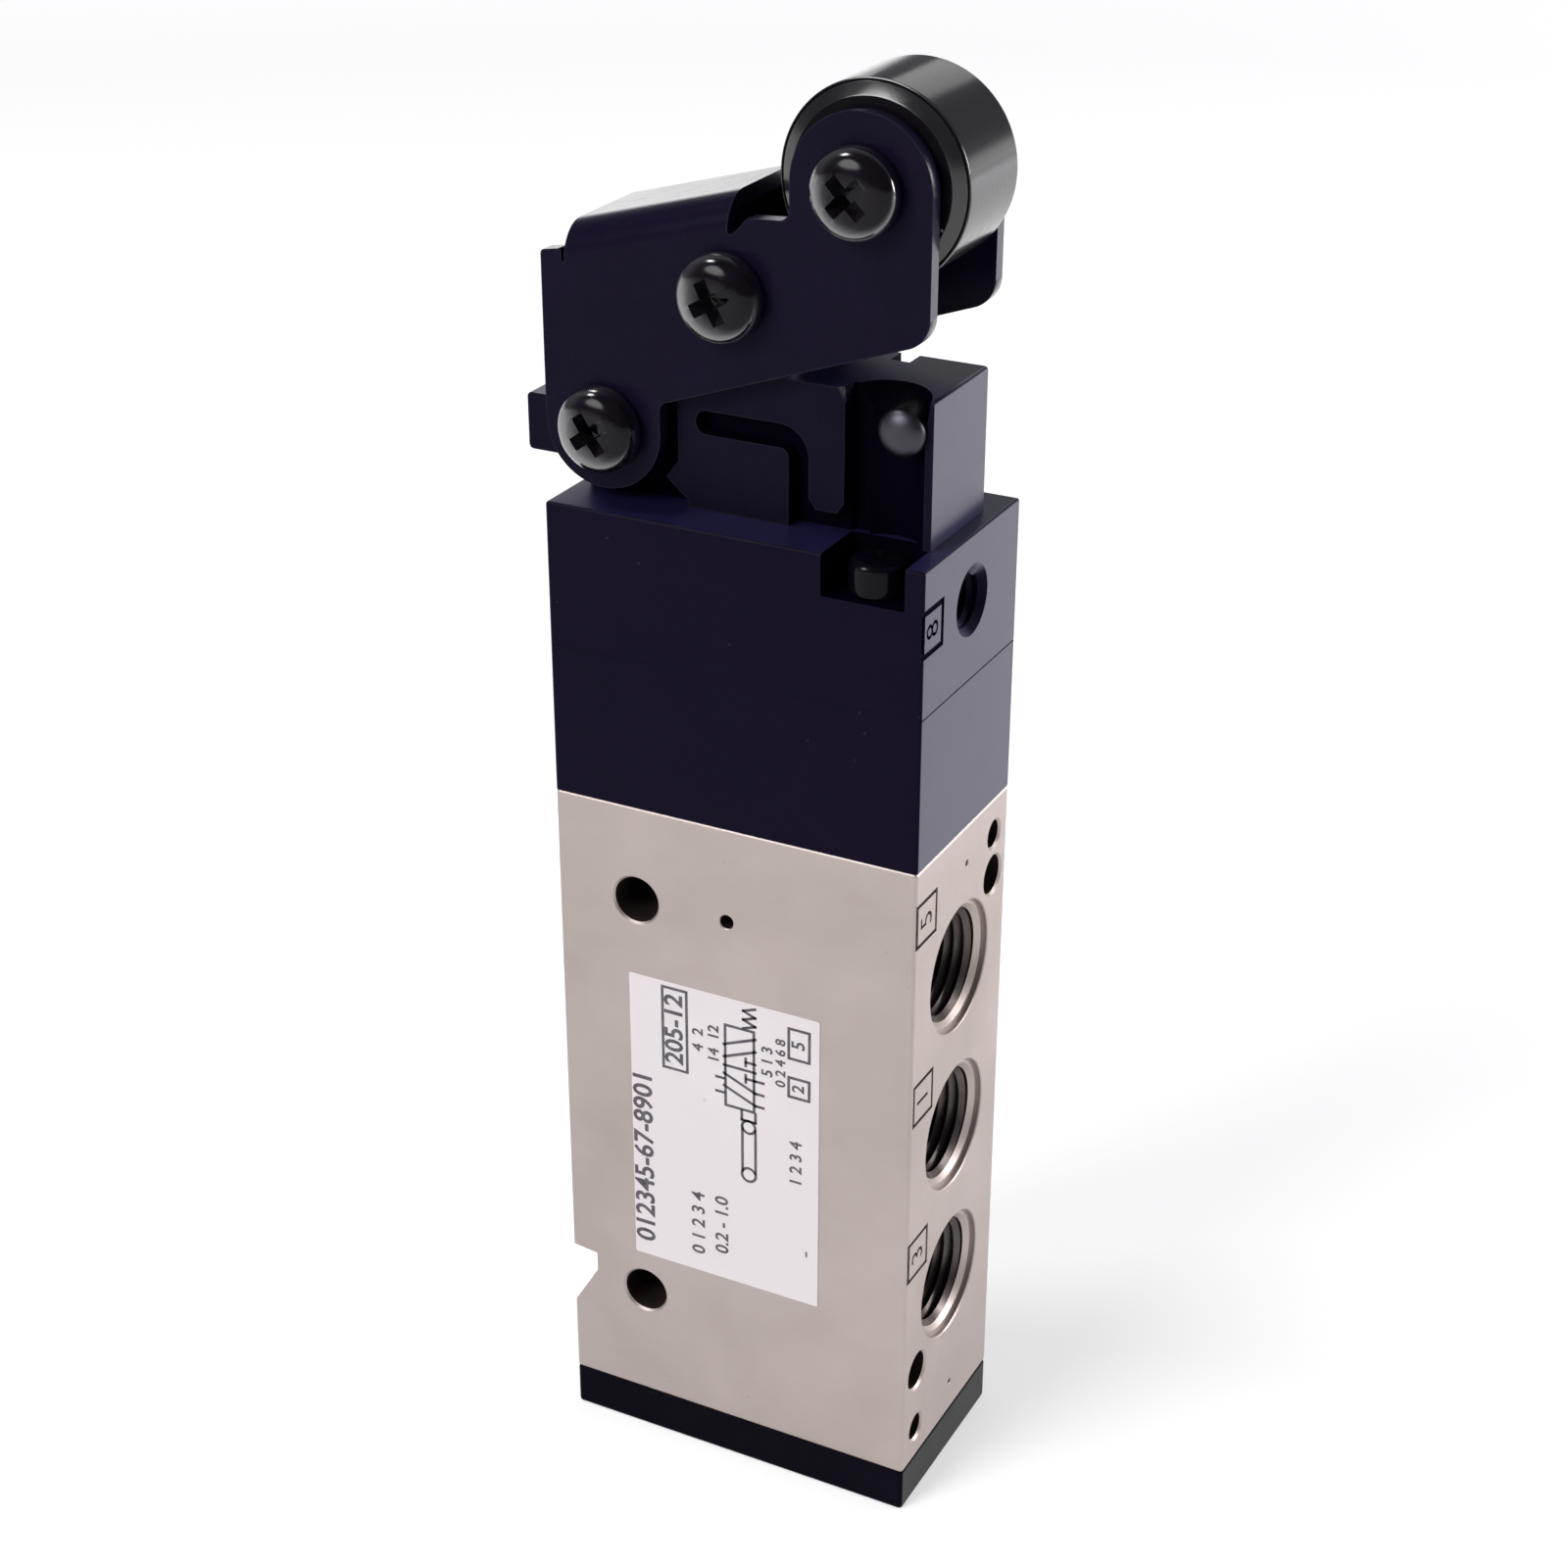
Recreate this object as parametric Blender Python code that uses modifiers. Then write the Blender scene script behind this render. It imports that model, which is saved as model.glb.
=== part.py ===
"""A roller-lever air valve with five main ports, built as separate pieces.

The script is standalone: it clears the scene, then models the valve in metres, +Z up. The sizes below are in
millimetres and are scaled once, where a mesh or a curve is made. The origin is the centre of the base face.
X runs from the outlet side to the inlet side, the label side faces -Y, and the lever is on top.
"""

import math

import bmesh
import bpy
from mathutils import Matrix, Vector

MM = 0.001
GAP = 0.3  # left between pieces that touch on the real valve

# Blocks
BODY_WIDTH = 32.8
BODY_DEPTH = 18.0
COVER_TOP = 4.05
MAIN_BOTTOM = COVER_TOP + GAP
MAIN_TOP = 62.85
HOUSING_BOTTOM = MAIN_TOP + GAP
HOUSING_TOP = 76.05
PILOT_BOTTOM = HOUSING_TOP + GAP
PILOT_TOP = 88.3
EDGE = 0.35
GASKET_THICK = 0.6
GASKET_WIDTH = 29.0
GASKET_DEPTH = 15.2
LIP = 1.0  # how far a cutter stands clear of the face it opens

# Ports: the three inlet-side ports, and the two outlets between them on the other side
PORT_MIDDLE = 34.9
PORT_PITCH = 15.4
INLET_PORTS = (PORT_MIDDLE - PORT_PITCH, PORT_MIDDLE, PORT_MIDDLE + PORT_PITCH)
OUTLET_PORTS = (PORT_MIDDLE - PORT_PITCH / 2, PORT_MIDDLE + PORT_PITCH / 2)
SPOT_RADIUS = 5.73
SPOT_DEPTH = 0.5
THREAD_RADIUS = 4.87
THREAD_END_RADIUS = 4.6
THREAD_DEPTH = 8.6
DRILL_RADIUS = 3.0

# Cross holes, corner taps and the notch
CROSS_X = -9.0
CROSS_HEIGHTS = (15.0, 54.5)
CROSS_RADIUS = 2.05
TAP_DEPTH = 5.0
LARGE_TAP_RADIUS = 1.7
SMALL_TAP_RADIUS = 1.2
TAP_Y = 6.3
TAPS = {  # beside the ports: y, z and radius
    "top_small": (TAP_Y, 59.7, SMALL_TAP_RADIUS),
    "top_large": (TAP_Y, 55.9, LARGE_TAP_RADIUS),
    "bottom_large": (-TAP_Y, 13.4, LARGE_TAP_RADIUS),
    "bottom_small": (-TAP_Y, 7.3, SMALL_TAP_RADIUS),
}
TEST_HOLE = (-0.5, 54.6)
TEST_HOLE_RADIUS = 0.7
TEST_HOLE_DEPTH = 2.5
NOTCH_DEPTH = 2.5
NOTCH_TOP = 17.4
NOTCH_CORNER = 15.6
NOTCH_FOOT = 9.7  # where its sloping floor would meet the plane 1 mm outside the face
COVER_SEAL_INNER = 6.6
COVER_SEAL_OUTER = 7.6
COVER_SEAL_THICK = 0.8

# Spool, seals and piston
BORE_RADIUS = 5.5
SPOOL_BOTTOM = 9.5
SPOOL_TOP = 65.7
LAND_RADIUS = 5.2
LAND_HALF = 2.0
NECK_RADIUS = 2.9
GROOVE_RADIUS = 3.45
GROOVE_HALF = 1.1
SEAL_INNER = 3.75
SEAL_OUTER = 5.35
SEAL_HALF = 0.8
SEAL_HEIGHTS = (14.6, 24.2, 33.4, 39.4, 48.7, 57.6)
POCKET_RADIUS = 3.2
POCKET_TOP = 12.9
PISTON_BORE_RADIUS = 7.2
PISTON_BORE_TOP = 72.5
PISTON_RADIUS = 6.9
PISTON_BOTTOM = 66.0
PISTON_TOP = 72.2
PISTON_SEAL_Z = 69.1

# Pilot stage, on its own vertical axis
PILOT_X = -0.6
PILOT_BORE_RADIUS = 3.5
PILOT_SHELF_TOP = 85.6
PILOT_SHELF_BOTTOM = 84.9
SHELF_HOLE_RADIUS = 2.0
POPPET_POCKET_BOTTOM = 73.9
EXHAUST_Z = 82.9
EXHAUST_MOUTH_RADIUS = 2.94
EXHAUST_THREAD_RADIUS = 2.3
EXHAUST_THREAD_DEPTH = 6.0
EXHAUST_DRILL_RADIUS = 1.25
EXHAUST_DRILL_DEPTH = 15.0
PASSAGE_RADIUS = 0.8
SEAL_BORE_INNER = 1.6  # the stem seal's hole, round the plunger
SEAL_BORE_OUTER = 3.2
PLUNGER_PROFILE = [  # from the button under the press roller down to the tip over the poppet
    (0.0, 103.0),
    (2.2, 103.0),
    (2.9, 102.6),
    (2.9, 102.0),
    (1.9, 102.0),
    (1.9, 95.6),
    (2.8, 95.6),
    (2.8, 94.2),
    (1.4, 94.2),
    (1.4, 80.8),
    (1.1, 80.5),
    (0.0, 80.5),
]
SEAT_PROFILE = [(3.2, 81.0), (3.2, 79.7), (2.4, 79.7), (1.8, 80.0), (1.8, 81.0)]
POPPET_PROFILE = [(0.0, 79.4), (2.2, 79.4), (2.5, 79.1), (2.5, 78.1), (1.2, 78.1), (1.2, 77.3), (0.0, 77.3)]
SPRINGS = {  # radius, wire, bottom, top, turns
    "poppet_spring": (1.7, 0.4, 74.2, 77.9, 3.5),
    "plunger_spring": (2.4, 0.6, 88.5, 93.9, 4.0),
}
SPOOL_SPRING = (2.6, 0.6, 4.5)  # radius, wire, turns

# Screws through the blocks; each size is the head's radius, its height and the shank's radius
CHAMFER = 0.3
CORNER_SCREW = (11.3, -6.2)
CORNER_SCREW_SIZE = (2.3, 2.6, 1.2)
NOTCH_FLOOR = 84.9
NOTCH_HALF_WIDTH = 3.5
CORNER_NOTCH_DEPTH = 5.4
CORNER_HOLE_RADIUS = CORNER_SCREW_SIZE[2] + GAP
CORNER_SCREW_LENGTH = 28.0
COVER_SCREW_X = 12.2
COVER_SCREW_SIZE = (2.6, 1.9, 1.3)
COVER_SCREW_SEAT = 2.3
COVER_SCREW_LENGTH = 8.2
BRACKET_SCREWS = {"left": (-7.6, 0.0), "right": (6.25, 3.0)}
BRACKET_SCREW_SIZE = (2.2, 2.0, 1.2)
BRACKET_SCREW_SEAT = 79.2
BRACKET_SCREW_LENGTH = 15.2

# Head bracket
BRACKET_HALF = 4.9
BRACKET_BOTTOM = PILOT_TOP + GAP
BRACKET_TOP = 100.0
BRACKET_LEFT = -15.4
BRACKET_RIGHT = 15.0
SET_BACK = 1.4  # depth of the arch groove, and of the face beside the pad
ARCH_TOP = 96.4
ARCH_RIGHT = 4.7
ARCH_LEFT = -5.0
PAD_TOP = 94.5
PAD_RIGHT = 3.0
PAD_LEFT = -6.6
BOSS_RADIUS = 4.3
LUG_LEFT = -20.2
LUG_TOP = 95.5
LUG_BOTTOM = 90.8
SLOT_LEFT = 7.7
SLOT_RIGHT = 9.3
SLOT_DEPTH = 1.9
RIB_END = 90.0
DRIVER_GROOVE_RADIUS = 3.3
SEAL_RECESS_RADIUS = 4.6
BUSH_FLANGE_BOTTOM = 98.9
BUSH_TOP = 99.9
BUSH_BOTTOM = 96.0
BUSH_INNER = 2.2
BUSH_OUTER = 2.9
BUSH_FLANGE_RADIUS = 4.4
STOP_PIN = (12.6, 97.5)
STOP_PIN_RADIUS = 1.9
STOP_PIN_HALF = 6.3

# Lever: three axes across the valve, and the channel round them
PIVOT = (-12.2, 94.4)
PRESS = (-1.5, 106.3)
AXLE = (9.5, 115.4)
LEVER_HALF = 6.5
SHEET = 1.2
BEND_RADIUS = 2.6
PIVOT_EAR_RADIUS = 5.1
PIVOT_EAR_LEFT = -17.5
PIVOT_EAR_BOTTOM = 89.3
AXLE_EAR_RADIUS = 5.7
LEVER_CORNER_RADIUS = 2.5
EDGE_START = 96.9  # height of the lower edge where it leaves the pivot ear
EDGE_SLOPE = 0.355
WEB_LEFT = -15.4
WEB_RIGHT = -1.3
WEB_LEFT_TOP = 109.9
WEB_RIGHT_TOP = 113.8
RELIEF_DEPTH = 2.9  # the cuts at the web's two ends, down past the bends
PLATE_LEFT_TOP = 107.7
PLATE_RIGHT_TOP = 112.5
ROLLER_RADIUS = 7.6
ROLLER_HALF = 4.8
ROLLER_FACE_RADIUS = 6.4
ROLLER_RIM_RADIUS = 7.4
ROLLER_RIM_HALF = 4.2
PRESS_ROLLER_RADIUS = 3.0
PRESS_ROLLER_HALF = 4.6
SHANK_RADIUS = 1.9
LEVER_SCREW_LENGTH = 15.7
BUSH_RADIUS = 3.0
BUSH_HALF = 5.0
HEAD_RADIUS = 3.45
HEAD_HEIGHT = 2.3
NUT_ACROSS_FLATS = 7.0
NUT_THICK = 2.0

ROUND_FACES = 32
MEDIUM_FACES = 20
SMALL_FACES = 16
HIDDEN_FACES = 12
COIL_STEPS = 8  # straight runs in each turn of a spring

AXIS_TURNS = {
    "Z": (0.0, 0.0, 0.0),
    "Y": (-math.pi / 2, 0.0, 0.0),
    "X": (0.0, math.pi / 2, 0.0),
    "-X": (0.0, -math.pi / 2, 0.0),
}


def clear_scene():
    for old in list(bpy.data.objects):
        bpy.data.objects.remove(old)


def make_collection(name, hidden=False):
    made = bpy.data.collections.new(name)
    made.hide_render = hidden
    bpy.context.scene.collection.children.link(made)
    return made


def make_material(name, colour, roughness, metallic):
    made = bpy.data.materials.new(name)
    made.use_nodes = True
    shader = made.node_tree.nodes["Principled BSDF"]
    shader.inputs["Base Color"].default_value = (*colour, 1.0)
    shader.inputs["Roughness"].default_value = roughness
    shader.inputs["Metallic"].default_value = metallic
    return made


clear_scene()
PARTS = make_collection("roller_lever_valve")
CUTTERS = make_collection("cutters", hidden=True)

FINISHES = {
    "aluminium": ((0.46, 0.42, 0.40), 0.42, 1.0),
    "black_resin": ((0.013, 0.012, 0.016), 0.38, 0.0),
    "black_casting": ((0.012, 0.011, 0.015), 0.42, 0.0),
    "black_sheet": ((0.010, 0.010, 0.013), 0.28, 0.3),
    "black_screw": ((0.02, 0.02, 0.024), 0.25, 0.8),
    "roller_steel": ((0.13, 0.13, 0.14), 0.22, 1.0),
    "bright_steel": ((0.60, 0.59, 0.57), 0.25, 1.0),
    "brass": ((0.60, 0.42, 0.18), 0.32, 1.0),
    "rubber": ((0.015, 0.015, 0.015), 0.75, 0.0),
    "spring_steel": ((0.50, 0.50, 0.50), 0.28, 1.0),
}


def finish(name, finish_name):
    """The piece's own material, with the values of a shared finish."""
    return make_material(name, *FINISHES[finish_name])


def shade(mesh):
    mesh.shade_smooth()
    mesh.set_sharp_from_angle(angle=math.radians(35))


def add_part(name, mesh, finish_name, location=(0, 0, 0), rotation=(0, 0, 0)):
    part = bpy.data.objects.new(name, mesh)
    part.location = Vector(location) * MM
    part.rotation_euler = rotation
    mesh.materials.clear()
    mesh.materials.append(finish(name, finish_name))
    PARTS.objects.link(part)
    return part


def add_cutter(name, mesh, location=(0, 0, 0), rotation=(0, 0, 0)):
    cutter = bpy.data.objects.new(name, mesh)
    cutter.location = Vector(location) * MM
    cutter.rotation_euler = rotation
    cutter.hide_render = True
    cutter.display_type = "WIRE"
    CUTTERS.objects.link(cutter)
    return cutter


def cut(part, cutter):
    modifier = part.modifiers.new(cutter.name, "BOOLEAN")
    modifier.operation = "DIFFERENCE"
    modifier.solver = "EXACT"
    modifier.object = cutter


def bevel(part, width, segments=2):
    modifier = part.modifiers.new("edges", "BEVEL")
    modifier.width = width * MM
    modifier.segments = segments
    modifier.limit_method = "ANGLE"
    modifier.angle_limit = math.radians(40)


def box_mesh(name, low, high):
    """A block between two corners, its vertices in place and its origin at zero."""
    low = Vector(low)
    high = Vector(high)
    shape = bmesh.new()
    bmesh.ops.create_cube(shape, size=1.0)
    size = Matrix.Diagonal((*((high - low) * MM), 1.0))
    bmesh.ops.transform(shape, matrix=Matrix.Translation((low + high) / 2 * MM) @ size, verts=shape.verts)
    mesh = bpy.data.meshes.new(name)
    shape.to_mesh(mesh)
    shape.free()
    return mesh


def round_mesh(name, radius, length, faces=ROUND_FACES):
    """A cylinder from z = 0 up to its length."""
    shape = bmesh.new()
    bmesh.ops.create_cone(
        shape, cap_ends=True, segments=faces, radius1=radius * MM, radius2=radius * MM, depth=length * MM
    )
    bmesh.ops.translate(shape, verts=shape.verts, vec=(0, 0, length / 2 * MM))
    mesh = bpy.data.meshes.new(name)
    shape.to_mesh(mesh)
    shape.free()
    return mesh


def bore_cutter(name, radius, length, location, axis="Z", faces=MEDIUM_FACES):
    return add_cutter(name, round_mesh(name, radius, length, faces), location, AXIS_TURNS[axis])


def profile_mesh(name, profile, closed):
    """A profile of (radius, height) pairs as a chain of edges, for a Screw modifier to turn."""
    mesh = bpy.data.meshes.new(name)
    points = [(radius * MM, 0.0, height * MM) for radius, height in profile]
    edges = [(i, i + 1) for i in range(len(points) - 1)]
    if closed:
        edges.append((len(points) - 1, 0))
    mesh.from_pydata(points, edges, [])
    return mesh


def turn(part, faces):
    screw = part.modifiers.new("turned", "SCREW")
    screw.steps = faces
    screw.render_steps = faces
    screw.use_merge_vertices = True
    screw.merge_threshold = 0.00001
    screw.use_smooth_shade = True


def turned_part(name, profile, finish_name, location=(0, 0, 0), axis="Z", faces=SMALL_FACES, closed=False):
    """A turned piece. Its profile runs down the outer side, from top to bottom."""
    mesh = profile_mesh(name, profile, closed)
    part = add_part(name, mesh, finish_name, location, AXIS_TURNS[axis])
    turn(part, faces)
    return part


def turned_cutter(name, profile, location, axis, faces=MEDIUM_FACES):
    cutter = add_cutter(name, profile_mesh(name, profile, False), location, AXIS_TURNS[axis])
    turn(cutter, faces)
    return cutter


def ring_profile(inner, outer, low, high, chamfer=0.0):
    """A closed ring section, clockwise from its top outer corner, chamfered on its outer edges."""
    if chamfer == 0:
        return [(outer, high), (outer, low), (inner, low), (inner, high)]
    return [
        (outer - chamfer, high),
        (outer, high - chamfer),
        (outer, low + chamfer),
        (outer - chamfer, low),
        (inner, low),
        (inner, high),
    ]


def rounded_outline(corners, step=math.radians(15)):
    """Corner points (x, z, radius) joined by straight runs, each corner rounded by an arc of its radius."""
    outline = []
    for i, (x, z, radius) in enumerate(corners):
        corner = Vector((x, z))
        before = (Vector(corners[i - 1][:2]) - corner).normalized()
        after = (Vector(corners[(i + 1) % len(corners)][:2]) - corner).normalized()
        if radius == 0:
            outline.append(corner)
            continue
        half = before.angle(after) / 2
        centre = corner + (before + after).normalized() * radius / math.sin(half)
        start = corner + before * radius / math.tan(half) - centre
        end = corner + after * radius / math.tan(half) - centre
        sweep = math.atan2(start.x * end.y - start.y * end.x, start.dot(end))
        count = max(2, round(abs(sweep) / step))
        for k in range(count + 1):
            turn_by = sweep * k / count
            across = math.cos(turn_by) * start.x - math.sin(turn_by) * start.y
            up = math.sin(turn_by) * start.x + math.cos(turn_by) * start.y
            outline.append(centre + Vector((across, up)))
    return outline


def outline_mesh(name, outline, half_thickness):
    """A flat outline in the XZ plane, thickened both ways along Y, as a welded mesh."""
    curve = bpy.data.curves.new(name, "CURVE")
    curve.dimensions = "2D"
    curve.fill_mode = "BOTH"
    curve.extrude = half_thickness * MM
    spline = curve.splines.new("POLY")
    spline.points.add(len(outline) - 1)
    for point, place in zip(spline.points, outline):
        point.co = (place[0] * MM, place[1] * MM, 0.0, 1.0)
    spline.use_cyclic_u = True
    guide = bpy.data.objects.new(name, curve)
    PARTS.objects.link(guide)
    graph = bpy.context.evaluated_depsgraph_get()
    mesh = bpy.data.meshes.new_from_object(guide.evaluated_get(graph))
    bpy.data.objects.remove(guide)
    shape = bmesh.new()
    shape.from_mesh(mesh)
    bmesh.ops.remove_doubles(shape, verts=shape.verts, dist=0.000001)
    bmesh.ops.dissolve_limit(shape, angle_limit=0.01, verts=shape.verts, edges=shape.edges)
    bmesh.ops.rotate(shape, verts=shape.verts, matrix=Matrix.Rotation(math.pi / 2, 3, "X"))
    bmesh.ops.recalc_face_normals(shape, faces=shape.faces)
    shape.to_mesh(mesh)
    shape.free()
    mesh.name = name
    return mesh


def round_web_edges(mesh, width, half, line_left, line_right):
    """Rounds the two long edges that lie along the web, where the sheet is bent."""
    shape = bmesh.new()
    shape.from_mesh(mesh)
    ends = [Vector((x * MM, z * MM)) for x, z in (line_left, line_right)]
    edges = [
        edge
        for edge in shape.edges
        if all(
            abs(abs(vert.co.y) - half * MM) < 1e-6
            and min((Vector((vert.co.x, vert.co.z)) - end).length for end in ends) < 1e-6
            for vert in edge.verts
        )
        and abs(edge.verts[0].co.y - edge.verts[1].co.y) < 1e-6
    ]
    bmesh.ops.bevel(shape, geom=edges, offset=width * MM, segments=4, profile=0.5, affect="EDGES")
    shape.to_mesh(mesh)
    shape.free()


def block(name, bottom, top, finish_name):
    """A full-width block of the valve's column, with softened edges."""
    half = (BODY_WIDTH / 2, BODY_DEPTH / 2)
    mesh = box_mesh(name, (-half[0], -half[1], bottom), (half[0], half[1], top))
    part = add_part(name, mesh, finish_name)
    bevel(part, EDGE)
    return part


def coil(name, radius, wire, bottom, top, turns, location):
    """A compression spring with its end turns closed."""
    curve = bpy.data.curves.new(name, "CURVE")
    curve.dimensions = "3D"
    curve.bevel_depth = wire / 2 * MM
    curve.bevel_resolution = 2
    curve.use_fill_caps = True
    count = round(turns * COIL_STEPS) + 1
    spline = curve.splines.new("POLY")
    spline.points.add(count - 1)
    travel = top - bottom - wire
    closed_turn = 0.8 / turns
    for i, point in enumerate(spline.points):
        share = i / (count - 1)
        angle = 2 * math.pi * turns * share
        rise = min(max((share - closed_turn) / (1 - 2 * closed_turn), 0.0), 1.0)
        end_rise = wire * 1.05 * (min(share, closed_turn) + max(share - 1 + closed_turn, 0)) / closed_turn
        height = bottom + wire / 2 + end_rise + (travel - 2.1 * wire) * rise
        point.co = (radius * math.cos(angle) * MM, radius * math.sin(angle) * MM, height * MM, 1.0)
    part = bpy.data.objects.new(name, curve)
    part.location = Vector(location) * MM
    curve.materials.append(finish(name, "spring_steel"))
    PARTS.objects.link(part)
    return part


def pan_screw(name, location):
    """A lever screw across the valve: its origin is under the pan head, at the near side."""
    length = LEVER_SCREW_LENGTH
    profile = [
        (0.0, length),
        (SHANK_RADIUS - CHAMFER, length),
        (SHANK_RADIUS, length - CHAMFER),
        (SHANK_RADIUS, 0.0),
        (HEAD_RADIUS, 0.0),
        (HEAD_RADIUS, -0.35 * HEAD_HEIGHT),
        (0.88 * HEAD_RADIUS, -0.72 * HEAD_HEIGHT),
        (0.62 * HEAD_RADIUS, -0.93 * HEAD_HEIGHT),
        (0.0, -HEAD_HEIGHT),
    ]
    return turned_part(name, profile, "black_screw", location, "Y")


def upright_screw(name, size, length, location, finish_name, head_up=True):
    """A cheese-head screw on a vertical axis: the origin is under the head."""
    head_radius, head_height, shank_radius = size
    up = 1 if head_up else -1
    profile = [
        (0.0, up * head_height),
        (head_radius - CHAMFER, up * head_height),
        (head_radius, up * (head_height - CHAMFER)),
        (head_radius, 0.0),
        (shank_radius, 0.0),
        (shank_radius, -up * (length - CHAMFER)),
        (shank_radius - CHAMFER, -up * length),
        (0.0, -up * length),
    ]
    if not head_up:
        profile.reverse()
    return turned_part(name, profile, finish_name, location)


def hex_nut(name, location, bore):
    """A chamfered hexagon nut across the valve, its origin on the near face."""
    mesh = bpy.data.meshes.new(name)
    shape = bmesh.new()
    corner = NUT_ACROSS_FLATS / 2 / math.cos(math.pi / 6)
    bmesh.ops.create_cone(
        shape, cap_ends=True, segments=6, radius1=corner * MM, radius2=corner * MM, depth=NUT_THICK * MM
    )
    bmesh.ops.translate(shape, verts=shape.verts, vec=(0, 0, NUT_THICK / 2 * MM))
    shape.to_mesh(mesh)
    shape.free()
    nut = add_part(name, mesh, "black_screw", location, AXIS_TURNS["Y"])
    cut(nut, bore)
    return nut


# Bottom cover

def build_end_cover():
    cover = block("end_cover", 0.0, COVER_TOP, "black_resin")
    counterbore = COVER_SCREW_SEAT + GAP + LIP
    through = COVER_TOP + 2 * LIP
    head_radius, _, shank_radius = COVER_SCREW_SIZE
    for side, x in (("left", -COVER_SCREW_X), ("right", COVER_SCREW_X)):
        place = (x, 0, -LIP)
        cut(cover, bore_cutter(f"cover_counterbore_{side}", head_radius + GAP, counterbore, place))
        cut(cover, bore_cutter(f"cover_hole_{side}", shank_radius + GAP, through, place, faces=SMALL_FACES))
        seat = (x, 0, COVER_SCREW_SEAT)
        name = f"end_cover_screw_{side}"
        upright_screw(name, COVER_SCREW_SIZE, COVER_SCREW_LENGTH, seat, "bright_steel", head_up=False)
    seal = ring_profile(COVER_SEAL_INNER, COVER_SEAL_OUTER, MAIN_BOTTOM, MAIN_BOTTOM + COVER_SEAL_THICK, 0.2)
    turned_part("end_cover_seal", seal, "rubber", faces=MEDIUM_FACES, closed=True)


# Main body with its ports, cross holes and taps

def port_cutter(name, z, axis):
    """A threaded port: a flat spotface, a chamfer, the taper thread's cone and the drilling to the bore."""
    profile = [
        (0.0, 0.4),
        (SPOT_RADIUS, 0.4),
        (SPOT_RADIUS, -SPOT_DEPTH),
        (THREAD_RADIUS + 0.35, -SPOT_DEPTH),
        (THREAD_RADIUS, -SPOT_DEPTH - 0.4),
        (THREAD_END_RADIUS, -THREAD_DEPTH),
        (DRILL_RADIUS, -THREAD_DEPTH - 0.9),
        (DRILL_RADIUS, -12.5),
        (0.0, -12.5),
    ]
    side = 1 if axis == "X" else -1
    return turned_cutter(name, profile, (side * BODY_WIDTH / 2, 0, z), axis)


def notch_cutter():
    """A latch notch across the outlet side: square above, sloping below."""
    outside = -BODY_WIDTH / 2 - LIP
    floor = -BODY_WIDTH / 2 + NOTCH_DEPTH
    outline = [(outside, NOTCH_TOP + 0.4), (floor, NOTCH_TOP), (floor, NOTCH_CORNER), (outside, NOTCH_FOOT)]
    return add_cutter("notch", outline_mesh("notch", outline, BODY_DEPTH))


def seal_groove_cutter():
    """The ring groove in the body's foot for the cover's seal."""
    low = MAIN_BOTTOM - LIP
    height = COVER_SEAL_THICK + GAP + LIP
    groove = add_cutter("seal_groove", round_mesh("seal_groove", COVER_SEAL_OUTER + GAP, height), (0, 0, low))
    island = (0, 0, low - LIP)
    cut(groove, bore_cutter("seal_groove_island", COVER_SEAL_INNER - GAP, height + 2 * LIP, island))
    return groove


def build_main_body():
    body = block("main_body", MAIN_BOTTOM, MAIN_TOP, "aluminium")
    cut(body, bore_cutter("spool_bore", BORE_RADIUS, MAIN_TOP + LIP, (0, 0, 0)))
    cut(body, seal_groove_cutter())
    for i, z in enumerate(INLET_PORTS):
        cut(body, port_cutter(f"inlet_port_{i + 1}", z, "X"))
    for i, z in enumerate(OUTLET_PORTS):
        cut(body, port_cutter(f"outlet_port_{i + 1}", z, "-X"))
    front = -BODY_DEPTH / 2 - LIP
    for i, z in enumerate(CROSS_HEIGHTS):
        place = (CROSS_X, front, z)
        cut(body, bore_cutter(f"cross_hole_{i + 1}", CROSS_RADIUS, BODY_DEPTH + 2 * LIP, place, "Y"))
    tap_x = BODY_WIDTH / 2 - TAP_DEPTH
    for name, (y, z, radius) in TAPS.items():
        cut(body, bore_cutter(f"tap_{name}", radius, TAP_DEPTH + LIP, (tap_x, y, z), "X", SMALL_FACES))
    test = (TEST_HOLE[0], front, TEST_HOLE[1])
    cut(body, bore_cutter("test_hole", TEST_HOLE_RADIUS, TEST_HOLE_DEPTH + LIP, test, "Y", SMALL_FACES))
    cut(body, notch_cutter())
    thread = COVER_SCREW_SIZE[2] + GAP
    for side, x in (("left", -COVER_SCREW_X), ("right", COVER_SCREW_X)):
        place = (x, 0, MAIN_BOTTOM - LIP)
        cut(body, bore_cutter(f"cover_thread_{side}", thread, COVER_SCREW_LENGTH, place, faces=SMALL_FACES))
    corner_screw_end = NOTCH_FLOOR + GAP - CORNER_SCREW_LENGTH
    corner_holes(body, CORNER_HOLE_RADIUS, corner_screw_end - 0.8, MAIN_TOP + LIP - corner_screw_end)


# Spool, piston and their seals

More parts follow.
